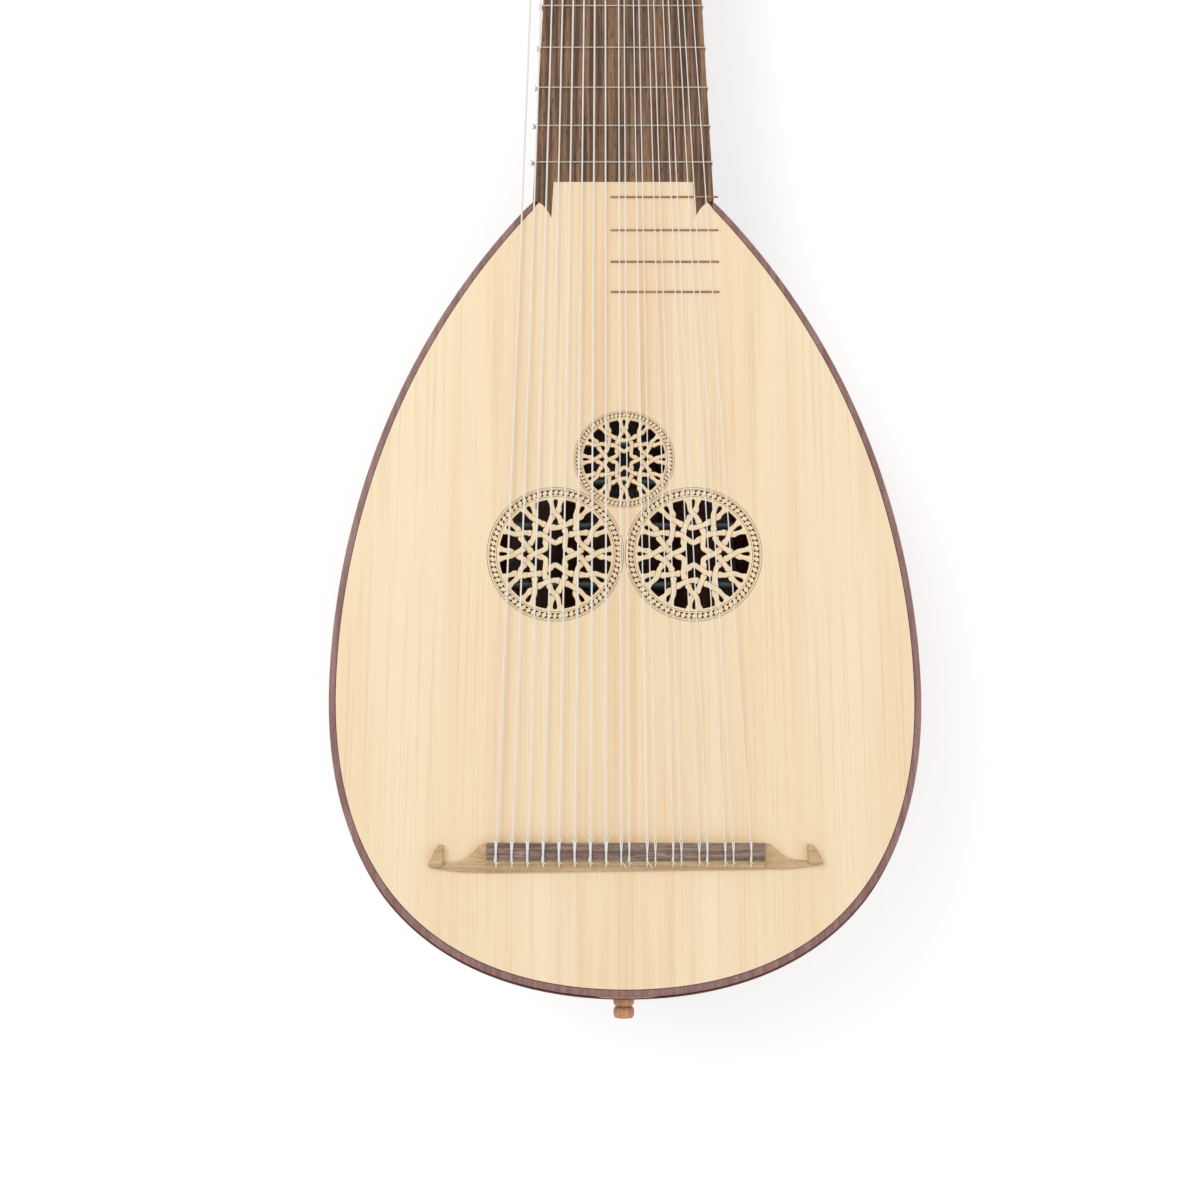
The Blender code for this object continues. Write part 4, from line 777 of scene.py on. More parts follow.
def weave(found):
    """Says for each crossing whether its first strap is over, alternating along every strap."""
    along = {strap: [] for strap in range(len(STRAPS))}
    for number, (a, s, b, t) in enumerate(found):
        along[a].append((s, number))
        along[b].append((t, number))
    for places in along.values():
        places.sort()
    over = {}
    waiting = [(0, along[0][0][1], True)]
    clashes = 0
    while waiting:
        strap, number, on_top = waiting.pop()
        first_over = on_top if found[number][0] == strap else not on_top
        if number in over:
            clashes += over[number] != first_over
            continue
        over[number] = first_over
        for who in (found[number][0], found[number][2]):
            here = first_over if found[number][0] == who else not first_over
            order = [n for _, n in along[who]]
            place = order.index(number)
            for beside in (place - 1, place + 1):
                if 0 <= beside < len(order):
                    waiting.append((who, order[beside], not here))
    print(len(found), "crossings,", clashes, "where the weave does not alternate")
    return over


CROSSINGS = crossings()
OVER = weave(CROSSINGS)

# %% Lofting and weaving the straps
STRAP_HALF = ((0.5, 0.0), (0.86, -0.06), (1.0, -0.24), (1.0, -1.55))
STRAP_SECTION = (*((-u, z) for u, z in reversed(STRAP_HALF)), (0.0, 0.02), *STRAP_HALF)
NEAR_CROSSING = 3.4
NUB_PLACE, NUB_SPREAD = 2.05, 0.62


def dips(strap, radius):
    """The crossings at which this strap goes under: where, and across which direction."""
    under = []
    for number, (a, s, b, t) in enumerate(CROSSINGS):
        if strap not in (a, b) or OVER[number] == (a == strap):
            continue
        other, place = (b, t) if a == strap else (a, s)
        line = STRAPS[other]
        i = min(int(place), len(line) - 2)
        point = line[i] + (line[i + 1] - line[i]) * (place - i)
        along = line[min(i + 3, len(line) - 1)] - line[max(i - 3, 0)]
        along = along / np.linalg.norm(along)
        under.append((point * radius, np.array((-along[1], along[0]))))
    return under


def slot_side(to_middle, nub, out):
    """A strap's width beside its slot, in half widths. The slot is a drop with a round end."""
    thin = nub - SLOT_CUT * ease(0.80, 0.93, out)
    if out < ROUND_FROM:
        return thin
    share = min((out - ROUND_FROM) / (1 - ROUND_FROM), 1.0)
    return to_middle - (to_middle - thin) * math.sqrt(1 - share * share) + 0.03 * share


def sink_and_shade_line(x, y, under, half):
    """How far a spot is cut down under the straps that cross it, and its share of painted shade."""
    sink, cut = 0.0, 0.0
    for meet, normal in under:
        gap = np.array((x, y)) - meet
        if np.hypot(*gap) > NEAR_CROSSING * half:
            continue
        off = abs(gap @ normal)
        sink = max(sink, 1 - ease(half * 1.02, half * 1.75, off))
        cut = max(cut, 1 - ease(half * 1.05, half * 1.24, off))
    return sink, cut


def side_widths(point, sideways, under, half, radius):
    """A strap's half widths to its left and right at one point of its line."""
    near = 1.0
    for meet, normal in under:
        beyond = max(0.0, np.hypot(*(point - meet)) - NEAR_CROSSING * half)
        near = min(near, abs((point - meet) @ normal) + beyond)
    nub = 1 + NUB * math.exp(-(((near / half - NUB_PLACE) / NUB_SPREAD) ** 2))
    out = np.hypot(*point) / radius
    slot = round(math.atan2(point[1], point[0]) / SLOT_STEP) * SLOT_STEP
    beside = math.cos(slot) * point[1] - math.sin(slot) * point[0]
    away = np.array((-math.sin(slot), math.cos(slot))) * math.copysign(1.0, beside)
    flared = nub + FLARE * ease(0.86, 1.0, out) ** 2
    slotted = slot_side(abs(beside) / half, nub, out)
    return [flared if sideways @ away * u > 0 else slotted for u in (-1, 1)]


def strap_piece(number, radius):
    line = STRAPS[number]
    half = STRAP_WIDTH * radius / 2
    fall = 0.52 * MM * radius / LARGE_ROSE
    along = np.gradient(line, axis=0)
    along /= np.linalg.norm(along, axis=1)[:, None]
    across = np.stack([along[:, 1], -along[:, 0]], axis=1)
    under = dips(number, radius)
    sections, shade_line_values = [], []
    for point, sideways in zip(line * radius, across):
        left, right = side_widths(point, sideways, under, half, radius)
        section = []
        for u, z in STRAP_SECTION:
            x, y = point + sideways * u * half * (left if u < 0 else right)
            sink, cut = sink_and_shade_line(x, y, under, half)
            section.append((x, y, z * MM - sink * fall))
            shade_line_values.append(cut if z > -1 else 0.0)
        sections.append(section)
    strap = loft("strap", sections)
    # The 'cut' attribute carries the painted shade line beside each crossing strap to the colour.
    colour = strap.data.attributes.new("cut", "FLOAT", "POINT")
    spots = np.array([p for section in sections for p in section])
    for vertex, value in zip(strap.data.vertices, colour.data):
        nearest = np.abs(spots - np.array(vertex.co)).sum(axis=1).argmin()
        value.value = shade_line_values[nearest]
    return strap


def woven_rose(side):
    centre, radius = ROSES[side]
    straps = [strap_piece(number, radius) for number in range(len(STRAPS))]
    rose = join("rose_straps_" + side, straps)
    rose.data.transform(Matrix.Translation(centre))
    return rose


for side in ROSES:
    finish(woven_rose(side), carved_spruce, smooth=40)

# %% [markdown]
# ## Under the board
# Eight bars stiffen the board. Through the roses four of them show as round rods whose dark colour
# is painted shade, and the others are plain spruce with scooped ends. Each is a short loft.

# %% Bars and rods
BAR_SHARES = (0.0896, 0.1567, 0.2260, 0.2797, 0.3203, 0.3558, 0.4254, 0.4925)
BAR_YS = [STRING_LENGTH * share for share in BAR_SHARES]
ROSE_BARS = BAR_YS[2:6]
BAR_DEPTH, BAR_END_DEPTH = 13 * MM, 4.5 * MM
BAR_HALF_WIDTH, ROD_RADIUS = 2.2 * MM, 2.5 * MM


def width_at(outline, y):
    for (w0, y0), (w1, y1) in zip(outline, outline[1:]):
        if y1 <= y <= y0:
            return mix(w0, w1, (y0 - y) / (y0 - y1))
    return 0.0


def bar(y, rounded):
    reach = width_at(OUTLINE, y) - RIB_THICKNESS - 6 * MM
    sections = []
    for i in range(33):
        share = -1 + i / 16
        deep = mix(BAR_DEPTH, BAR_END_DEPTH, ease(0.7, 1.0, abs(share)))
        section = []
        for k in range(12):
            a = 2 * math.pi * k / 12
            if rounded:
                off, z = ROD_RADIUS * math.cos(a), -deep / 2 * (1 - math.sin(a))
            else:
                off = math.copysign(BAR_HALF_WIDTH, math.cos(a)) * min(1, abs(math.cos(a)) * 2.2)
                z = -deep / 2 * (1 - math.copysign(min(1, abs(math.sin(a)) * 1.6), math.sin(a)))
            section.append((share * reach, y + off, z - BOARD_THICKNESS + 0.1 * MM))
        sections.append(section)
    return loft("bar", sections)


# The rods under the roses take the painted shade as their colour.
rods = [bar(y, True) for y in ROSE_BARS]
finish(join("rose_rods", rods), rod_painted_shade)
bars = [bar(y, False) for y in BAR_YS if y not in ROSE_BARS]
finish(join("soundboard_bars", bars), bar_spruce)

# %% [markdown]
# ## The binding
# A strip of purple-brown wood covers the board's edge, in two halves that meet at the tail. A
# rounded square section is carried round the outline. A thin darker line marks its inner edge.

# %% The edge strips
LINE_WIDTH = 0.4 * MM
AT_TAIL_JOINT = 0.05 * MM


def edge_strip(name, inner_gap, width, top, bottom, side):
    inner = below_side_cut(inset(OUTLINE, inner_gap + width))
    outer = below_side_cut(inset(OUTLINE, inner_gap))
    outer = outer[:1] + outer[len(outer) - len(inner) + 1 :]
    corners = [(0, bottom), (0, top - 0.5 * MM), (0.04, top - 0.16 * MM), (0.13, top),
               (0.5, top), (1, top), (1, bottom)]
    sections = []
    for (w0, y0), (w1, y1) in zip(outer, inner):
        x0, x1 = max(w0, AT_TAIL_JOINT), max(w1, AT_TAIL_JOINT)
        sections.append([(side * mix(x0, x1, s), mix(y0, y1, s), z) for s, z in corners])
    return loft(name, sections)


STRIP_WIDTH = BINDING_WIDTH - LINE_WIDTH - 0.05 * MM
STRIP_BOTTOM = -BOARD_THICKNESS + 0.1 * MM
LINE_GAP = BINDING_WIDTH - LINE_WIDTH
for name, side in (("binding_treble", 1), ("binding_bass", -1)):
    band = edge_strip(name + "_strip", 0.05 * MM, STRIP_WIDTH, 0.0, STRIP_BOTTOM, side)
    finish(band, binding_wood, [name], smooth=50)
    line = edge_strip(name + "_line", LINE_GAP, LINE_WIDTH, 0.01 * MM, -1.2 * MM, side)
    finish(line, binding_edge)

# %% [markdown]
# ## The bowl
# Nine ribs are bent over a mould and glued edge to edge. A section through one is a short straight
# strip, so each rib is a loft of such strips from the neck to the tail, with its edges eased to
# leave a fine line at every joint.

# %% Ribs
BOWL_DEPTH_RATIO = 0.93
NECK_DEPTH_RATIO = 0.74
SHALLOWER_FROM_Y = STRING_LENGTH * 0.224
LEAST_RIB_REACH = 2.2 * MM
TAIL_RADIUS = 0.175
NEXT_RIB_WOOD = (0.37, 0.61)


def depth_ratio(y):
    """The bowl's depth as a share of half its width."""
    return mix(BOWL_DEPTH_RATIO, NECK_DEPTH_RATIO, ease(SHALLOWER_FROM_Y, NECK_JOINT_Y, y))


def bowl_point(width, y, turn):
    return Vector((width * math.cos(turn), y, -depth_ratio(y) * width * math.sin(turn)))


def rib_edges(width, y, rib, top):
    width = max(width, LEAST_RIB_REACH)
    first = bowl_point(width, y, math.pi * rib / RIBS)
    second = bowl_point(width, y, math.pi * (rib + 1) / RIBS)
    if rib == 0:
        first = first.lerp(second, top / second.z)
    if rib == RIBS - 1:
        second = second.lerp(first, top / first.z)
    return first, second


def bend_grain(piece, rib):
    """Writes where each point lies across and along its rib, for the wood's fibres to follow."""
    grain = piece.data.attributes.new("grain", "FLOAT_VECTOR", "POINT")
    middle = math.pi * (rib + 0.5) / RIBS
    for vertex, value in zip(piece.data.vertices, grain.data):
        x, y, z = vertex.co
        depth = -z / depth_ratio(y)
        reach = math.hypot(x, depth)
        along = NECK_JOINT_Y - max(y, WIDEST_Y)
        if y < WIDEST_Y:
            along += TAIL_RADIUS * math.atan2(WIDEST_Y - y, reach)
        across = (math.atan2(depth, x) - middle) * reach
        shift_across, shift_along = (rib * step for step in NEXT_RIB_WOOD)
        value.vector = (across + shift_across, along + shift_along, 0.0)


RIB_TIP = 30 * MM
skin = [p for p in OUTLINE if p[0] > RIB_TIP or p[1] > 0]
lining = inset(skin, RIB_THICKNESS)
rib_top = -BOARD_THICKNESS - 0.02 * MM
for rib in range(RIBS):
    sections = []
    for (w0, y0), (w1, y1) in zip(skin, lining):
        outer = rib_edges(w0, y0, rib, rib_top)
        inner = rib_edges(w1, y1, rib, rib_top)
        half = [outer[0].lerp(outer[1], s) for s in (0, 0.25, 0.5, 0.75, 1)]
        sections.append(half + [inner[1].lerp(inner[0], s) for s in (0, 0.5, 1)])
    name = f"rib_{RIBS - rib}"
    stave = bevel(loft(name + "_stave", sections), 0.3 * MM, 2, 30)
    apply_modifiers(stave)
    bend_grain(stave, rib)
    finish(stave, rib_plum, [name])

# %% [markdown]
# ## The end clasp and the blocks
# The clasp is a thin strip bent round the tail, deep in the middle, that hides where the ribs come
# together. It lies on the nine flats, so a point on it is found from the rib that it touches. The
# two blocks inside are plain limewood, as the solids have them.

# %% The end clasp
FLATS = []
for rib in range(RIBS):
    a, b = math.pi * rib / RIBS, math.pi * (rib + 1) / RIBS
    first, second = (Vector((math.cos(t), -BOWL_DEPTH_RATIO * math.sin(t))) for t in (a, b))
    normal = Vector((second.y - first.y, first.x - second.x))
    normal = normal if normal.dot(first) > 0 else -normal
    FLATS.append(normal / normal.dot(first))


def tail_point(x, z, stand_off):
    """The bowl's surface near the tail, over this x and z, moved out by stand_off."""
    width = max(flat.dot(Vector((x, z))) for flat in FLATS)
    line = inset(OUTLINE, -stand_off)
    for (w0, y0), (w1, y1) in zip(line, line[1:]):
        if y1 < 0.02 and w1 <= width <= w0:
            return Vector((x, mix(y0, y1, (w0 - width) / (w0 - w1)), z))
    return Vector((x, line[-1][1], z))


CLASP_END_Y = 4 * MM
CLASP_DEPTH, CLASP_END_DEPTH = 42 * MM, 14 * MM
tail_line = [w for w, y in inset(OUTLINE, -0.7 * MM) if y < CLASP_END_Y]
stations = tail_line + [-w for w in reversed(tail_line[:-1])]
sections = []
for x in stations:
    low = mix(CLASP_DEPTH, CLASP_END_DEPTH, (x / (BODY_HALF_WIDTH * 1.1)) ** 2)
    depths = [mix(2.1 * MM, low, s / 12) for s in range(13)]
    stand_off = mix(1.5 * MM, 0.85 * MM, ease(0.86, 1.0, abs(x) / stations[0]))
    outside = [tail_point(x, -z, stand_off) for z in depths]
    inside = [tail_point(x, -z, 0.65 * MM) for z in reversed(depths)]
    sections.append(outside + inside)
clasp = loft("end_clasp_strip", sections)
clasp_wood = hardwood("clasp plum", (146, 82, 56), (100, 50, 36), (58, 28, 22),
                      fibres=(26, 26, 1), gloss=0.24, bands=90, coat=0.5)
finish(bevel(clasp, 0.2 * MM, 1, 60), clasp_wood, ["end_clasp"])

# %% The tail block, and the neck block that the solids already shape
sections = []
for y, share in ((TAIL_Y - 0.9 * MM, 0.35), (TAIL_Y + 2 * MM, 0.93), (TAIL_Y + 14 * MM, 1.0)):
    ring = [bowl_point((RIB_TIP - 0.8 * MM) * share, y, math.pi * k / 18) for k in range(19)]
    sections.append([(p.x, p.y, min(p.z, -2.1 * MM)) for p in ring])
finish(bevel(loft("tail_block", sections), 0.4 * MM), block_lime)
frame["nodes"]["neck_block"].data.materials.clear()
frame["nodes"]["neck_block"].data.materials.append(block_lime)

# %% [markdown]
# ## Frets on the body
# The last four frets are thin slips of plum glued to the soundboard under the stopped courses. Each
# is a small loft with a rounded top. Their places follow the halving rule that sets all frets.

# %% Body frets
def fret_y(number):
    return STRING_LENGTH / 2 ** (number / 12)


def softened(rows, times=2, keep=0.75):
    """Cuts the corners off a line or a table of stations: a few rows become a smooth run."""
    rows = [tuple(row) for row in rows]
    for _ in range(times):
        cut = [rows[0]]
        for first, second in zip(rows, rows[1:]):
            cut.append(tuple(mix(a, b, 1 - keep) for a, b in zip(first, second)))
            cut.append(tuple(mix(a, b, keep) for a, b in zip(first, second)))
        rows = cut + [rows[-1]]
    return rows


FRET_HALF = ((0.42, 0.78), (0.6, 0.5), (0.6, 0.02))
FRET_SHAPE = (*((-y, z) for y, z in reversed(FRET_HALF)), (0.0, 0.9), *FRET_HALF)
SLIP = ((-8.0, 0.5), (-7.4, 1.0), (26.0, 1.0), (58.9, 1.0), (59.5, 0.5))
slips = []
for number in (9, 10, 11, 12):
    at = fret_y(number)
    sections = [[(x * MM, at + y * MM, z * low * MM) for y, z in FRET_SHAPE] for x, low in SLIP]
    slips.append(loft("slip", sections))
finish(join("body_frets", slips), fret_wood)

# %% [markdown]
# ## Neck, fingerboard and tied frets
# The neck's section is a deep D. The fingerboard is a walnut plate whose two points run into the
# soundboard. The frets that can be moved are loops of gut: each starts at its knot on the bass
# side, crosses the board and returns round the neck's back.

# %% The neck
def along_neck(y):
    return (y - NECK_JOINT_Y) / (STRING_LENGTH - NECK_JOINT_Y)


def neck_half_width(y):
    return mix(NECK_JOINT_HALF_WIDTH, NUT_HALF_WIDTH, along_neck(y))


def neck_section(y, grow=0.0, steps=24):
    """A deep D from side to side. The power, under 1 near the nut, squares it a little."""
    half = neck_half_width(y) + grow
    depth = mix(NECK_DEPTH_AT_JOINT, NECK_DEPTH_AT_NUT, along_neck(y)) + grow
    below_board = depth - 2 * BOARD_THICKNESS - SEAT
    power = mix(1.0, 0.88, clamp(along_neck(y)))
    points = []
    for i in range(steps + 1):
        turn = math.pi * i / steps
        x = half * math.copysign(abs(math.cos(turn)) ** power, math.cos(turn))
        points.append((x, y, -BOARD_THICKNESS - SEAT - below_board * math.sin(turn) ** power))
    return points


neck_end = STRING_LENGTH + 6 * MM
neck_ys = [mix(NECK_JOINT_Y + SEAT, neck_end, i / 8) for i in range(9)]
neck = loft("neck_core", [neck_section(y) for y in neck_ys])
finish(bevel(neck, 0.5 * MM, 2, 50), neck_wood, ["neck"])

# %% The fingerboard
edge = board_joint()
edge[0] = (NECK_JOINT_HALF_WIDTH, NECK_JOINT_Y + SEAT)
edge = [(neck_half_width(STRING_LENGTH - SEAT), STRING_LENGTH - SEAT)] + edge
board = flat_plate("fingerboard_plate", [edge + mirrored(edge)], 0.0, -BOARD_THICKNESS)
finish(bevel(board, 0.12 * MM, 1, 60), fingerboard_walnut, ["fingerboard"])


# %% Tubes, for all that is made of gut
def tube(name, points, radius, sides=8):
    """A round string along the points, turned from one section to the next without twisting."""
    line = [Vector(p) for p in points]
    across = None
    sections = []
    for i, point in enumerate(line):
        along = (line[min(i + 1, len(line) - 1)] - line[max(i - 1, 0)]).normalized()
        if across is None:
            across = along.orthogonal().normalized()
        across = (across - along * across.dot(along)).normalized()
        up = along.cross(across)
        thick = radius[i] if isinstance(radius, list) else radius
        turns = [2 * math.pi * k / sides for k in range(sides)]
        sections.append([point + (across * math.cos(a) + up * math.sin(a)) * thick for a in turns])
    return loft(name, sections)


KNOT_END = ((0, 0.7), (0.4, 0.7), (0.8, 0.7), (1.0, 1.15), (1.15, 1.1), (1.3, 0.4))


def knot(x, y, z, thick):
    """A fret's knot: two turns of gut and two ends with burnt beads."""
    winding = []
    reach = thick * 1.5
    for i in range(31):
        a = 2 * math.pi * 2.25 * i / 30
        lay = mix(-0.9, 0.9, i / 30) * MM
        winding.append((x + reach * math.cos(a), y + lay, z + reach * math.sin(a)))
    pieces = [tube("knot", winding, thick * 0.8, 6)]
    for side in (-1, 1):
        end = [(x - s * 0.9 * MM, y + side * (0.5 + s * 1.1) * MM, z + s * 0.5 * MM)
               for s, _ in KNOT_END]
        pieces.append(tube("end", end, [thick * t for _, t in KNOT_END], 6))
    return pieces


GUT_FRET = 0.45 * MM
loops = []
for number in range(1, 9):
    y = fret_y(number)
    half = neck_half_width(y)
    start, end = ((-half - 0.5 * MM, y, z * MM) for z in (-0.5, -1.2))
    over = [(s * (half - 1.0 * MM), y, GUT_FRET + 0.02 * MM) for s in (-1, -0.5, 0, 0.5, 1)]
    corner = [(half + 0.35 * MM, y, GUT_FRET - 0.1 * MM),
              (half + GUT_FRET + 0.05 * MM, y, -0.6 * MM)]
    back = neck_section(y, GUT_FRET + 0.03 * MM)
    path = [start, *over, *softened(corner, 1), *back, end]
    loops.append(tube("fret", path, GUT_FRET, 8))
    loops += knot(-half - 1.3 * MM, y, -1.3 * MM, GUT_FRET)
finish(join("tied_frets", loops), fret_gut, smooth=60)

# %% [markdown]
# ## The bridge
# The bridge is a bar of pear with a walnut cap. Its strings pass through bores under the cap. The
# wings are carved: the front edge sweeps back, the rear keeps its ridge, and each ends in a small
# upright leaf. The table gives one wing's stations, and cutting its corners smooths them.

# %% Bridge body and wings
WING_LENGTH = 33.6 * MM
BRIDGE_HEIGHT = 6.0 * MM
BASS_DEPTH, TREBLE_DEPTH = 16.9 * MM, 14.9 * MM
# Share of the wing's length, front and rear as shares of the depth, share of the height.
WING = (
    (0.00, 0.00, 1.000, 1.00),
    (0.10, 0.02, 0.985, 0.96),
    (0.21, 0.26, 0.990, 0.66),
    (0.33, 0.47, 0.990, 0.42),
    (0.49, 0.63, 0.965, 0.31),
    (0.76, 0.67, 0.900, 0.28),
    (0.94, 0.71, 0.850, 0.28),
    (1.00, 0.76, 0.790, 0.26),
)


def bridge_depth(x):
    return mix(BASS_DEPTH, TREBLE_DEPTH, clamp((x / BRIDGE_HALF_LENGTH + 1) / 2))


def bridge_section(x, front, rear, share, ledge):
    """Front and rear as shares of the depth, share of the height, and the flat top's width."""
    depth = bridge_depth(x)
    high = BRIDGE_HEIGHT * share
    foot = min(1.2 * MM, high * 0.6)
    deep = (rear - front) * depth
    round_off = min(0.35 * MM, high * 0.2, deep * 0.15)
    ridge = max(-front * depth - ledge, -rear * depth + min(0.8 * MM, deep * 0.3))
    front_y, rear_y = -front * depth, -rear * depth
    corners = [
        (front_y, 0.02 * MM),
        (front_y, high - round_off),
        (front_y - round_off * 0.3, high - round_off * 0.3),
        (front_y - round_off, high),
        (ridge + round_off, high),
        (ridge - round_off * 0.2, high - round_off * 0.35),
        (rear_y, foot),
        (rear_y, 0.02 * MM),
    ]
    return [(x, y, z) for y, z in corners]


stations = []
for side in (-1, 1):
    wing = []
    for out, front, rear, share in softened(WING, 2):
        x = side * (BRIDGE_HALF_LENGTH + out * WING_LENGTH)
        ledge = mix(0.25, 0.62, share) * CAP_WIDTH if out else CAP_WIDTH
        wing.append(bridge_section(x, front, rear, share, ledge))
    stations += wing[::-1] if side < 0 else wing
bridge = loft("bridge_body", stations)
print("the bridge is", round(2 * (BRIDGE_HALF_LENGTH + WING_LENGTH) / MM), "mm long")


# %% The two leaves at the wings' ends
LEAF = ((0.0, 0.62), (0.06, 1.0), (0.3, 1.0), (0.7, 0.86), (0.9, 0.72), (0.98, 0.5), (1.0, 0.25))


def leaf(side):
    depth = bridge_depth(side * BRIDGE_HALF_LENGTH)
    tip = BRIDGE_HALF_LENGTH + WING_LENGTH + SEAT
    sections = []
    for share, full in softened(LEAF, 1):
        y = mix(-0.80, -0.055, share) * depth
        outer = mix(tip, tip - 5.0 * MM, share)
        inner = outer - mix(8.5 * MM, 4.8 * MM, share)
        middle, half = (outer + inner) / 2, (outer - inner) / 2 * full
        top = mix(4.4 * MM, 5.3 * MM, share) * mix(0.6, 1, full)
        half_line = [(half, 0.1 * MM), (half, top - 0.35 * MM), (half - 0.3 * MM, top)]
        corners = half_line + mirrored(half_line)
        sections.append([(side * (middle + x), y, z) for x, z in corners])
    return loft("leaf", sections)


leaves = [leaf(side) for side in (-1, 1)]
print("a leaf has", len(leaves[0].data.vertices), "points")

# %% The strings' places, and their bores through the bridge
STOPPED, DIAPASONS = 11, 8
STOPPED_RADIUS, DIAPASON_RADIUS = 0.35 * MM, 0.55 * MM
SINGLE_AT_BRIDGE, SINGLE_AT_NUT = 70.9 * MM, 38.4 * MM
LAST_COURSE_X = -2.6 * MM
COURSE_AT_BRIDGE, COURSE_AT_NUT = 14.7 * MM, 8.2 * MM
PAIR_AT_BRIDGE, PAIR_AT_NUT = 4.6 * MM, 3.3 * MM
FIRST_DIAPASON_X = -11.1 * MM
DIAPASON_AT_BRIDGE, DIAPASON_AT_NUT = 8.9 * MM, 3.7 * MM
DIAPASON_RISE = 12.85 * MM


def string_plan():
    """Every string from the treble down: name, x at the bridge, place on its nut and radius."""
    places = [(SINGLE_AT_BRIDGE, SINGLE_AT_NUT)]
    for course in range(4, -1, -1):
        at_bridge = LAST_COURSE_X + COURSE_AT_BRIDGE * course
        at_nut = LAST_COURSE_X + COURSE_AT_NUT * course
        places.append((at_bridge + PAIR_AT_BRIDGE, at_nut + PAIR_AT_NUT))
        places.append((at_bridge, at_nut))
    plan = []
    for i, (at_bridge, at_nut) in enumerate(places):
        on_nut = Vector((at_nut, STRING_LENGTH, STRING_Z_AT_NUT))
        plan.append((f"stopped_{i + 1}", at_bridge, on_nut, STOPPED_RADIUS))
    for i in range(DIAPASONS):
        at_nut = FIRST_DIAPASON_X - DIAPASON_AT_NUT * i
        on_nut = Vector((at_nut, DIAPASON_LENGTH, head_top(DIAPASON_LENGTH) + DIAPASON_RISE))
        at_bridge = FIRST_DIAPASON_X - DIAPASON_AT_BRIDGE * i
        plan.append((f"diapason_{i + 1}", at_bridge, on_nut, DIAPASON_RADIUS))
    return plan


def head_top(y):
    return -1.0 * MM - (y - HEAD_START) * math.tan(HEAD_TILT)


def rod_cutter(start, end, first_radius, last_radius, sides=20):
    return tube("cutter", [start, end], [first_radius, last_radius], sides)


STRINGS = string_plan()
bores = []
for _, x, _, radius in STRINGS:
    reach = radius + 0.3 * MM
    start, end = ((x, y, STRING_Z_AT_BRIDGE) for y in (6 * MM, -24 * MM))
    bores.append(rod_cutter(start, end, reach, reach, 12))
carve(bridge, join("bores", bores))
bridge = join("bridge_body", [bridge, *leaves])
finish(bridge, bridge_pear, ["bridge"], smooth=32)

# %% The walnut cap
let_go()
bpy.ops.mesh.primitive_cube_add(size=1.0)
cap = bpy.context.object
cap.name = cap.data.name = "bridge_cap_slip"
cap.data.transform(Matrix.Diagonal((2 * BRIDGE_HALF_LENGTH, CAP_WIDTH, 1.55 * MM, 1)))
cap.data.transform(Matrix.Translation((0, -CAP_WIDTH / 2, CAP_TOP - 0.775 * MM)))
finish(bevel(cap, 0.4 * MM, 3), cap_walnut, ["bridge_cap"])

# %% [markdown]
# ## The head
# Past the nut the neck becomes a pegbox for the stopped strings, then a slim shaft, then a second
# pegbox for the diapasons, which ends in a small finial. The photograph is cut off before this, so
# it follows what such lutes usually have. One long loft gives the body. The two hollows and the
# tapered peg holes are then cut from it.

# %% The head's body
LOWER_CAVITY = (-14.0 * MM, 39.4 * MM, HEAD_START + 5 * MM, 884 * MM)
UPPER_MIDDLE = -24.05 * MM
UPPER_CAVITY = (UPPER_MIDDLE - 11 * MM, UPPER_MIDDLE + 11 * MM, 1411 * MM, 1553 * MM)
UPPER_END = UPPER_CAVITY[3] + 7 * MM
SHAFT_DEPTH = 23 * MM
SHAFT_HALF_WIDTH, UPPER_HALF_WIDTH = 15.04 * MM, 20 * MM
UPPER_NARROWING = 0.94
FINIAL_LENGTH, FINIAL_TIP_DEPTH = 24 * MM, 16.8 * MM
# Share of the finial's length, half width as a share of the upper box's.
FINIAL = ((0.20, 0.78), (0.42, 0.50), (0.62, 0.40), (0.80, 0.44), (0.93, 0.34), (1.0, 0.16))


def head_stations():
    """(y, lowest x, highest x, depth) along the head, from the neck to the finial."""
    bass, treble = -NUT_HALF_WIDTH, NUT_HALF_WIDTH
    shoulder_start = LOWER_CAVITY[3] - 6 * MM
    shoulder_end = LOWER_CAVITY[3] + 36 * MM
    shaft_edge = bass + 32 * MM
    rows = []
    for i in range(9):
        y = mix(HEAD_START, HEAD_START + 30 * MM, i / 8)
        rows.append((y, bass, treble, mix(NECK_DEPTH_AT_NUT, LOWER_BOX_DEPTH, ease(0, 1, i / 8))))
    for i in range(19):
        turn = math.pi / 2 * i / 18
        y = mix(shoulder_start, shoulder_end, math.sin(turn))
        x = shaft_edge + (treble - shaft_edge) * math.cos(turn)
        rows.append((y, bass, x, mix(LOWER_BOX_DEPTH, SHAFT_DEPTH, ease(0, 1, i / 18))))
    slim, wide = SHAFT_HALF_WIDTH, UPPER_HALF_WIDTH
    upper = DIAPASON_LENGTH - 20 * MM
    shaft_end = [(upper - 30 * MM, slim, SHAFT_DEPTH)]
    swell = [(upper, slim + 1 * MM, SHAFT_DEPTH + 1 * MM),
             (upper + 9 * MM, mix(slim, wide, 0.62), 26.6 * MM),
             (upper + 16 * MM, wide, UPPER_BOX_DEPTH)]
    finial = [(UPPER_END, wide * UPPER_NARROWING, UPPER_BOX_DEPTH)]
    for share, width in FINIAL:
        deep = UPPER_BOX_DEPTH * (1 - 0.25 * share) if share < 1 else FINIAL_TIP_DEPTH
        finial.append((UPPER_END + FINIAL_LENGTH * share, wide * width, deep))
    for y, half, deep in shaft_end + softened(swell) + softened(finial):
        rows.append((y, UPPER_MIDDLE - half, UPPER_MIDDLE + half, deep))
    return rows


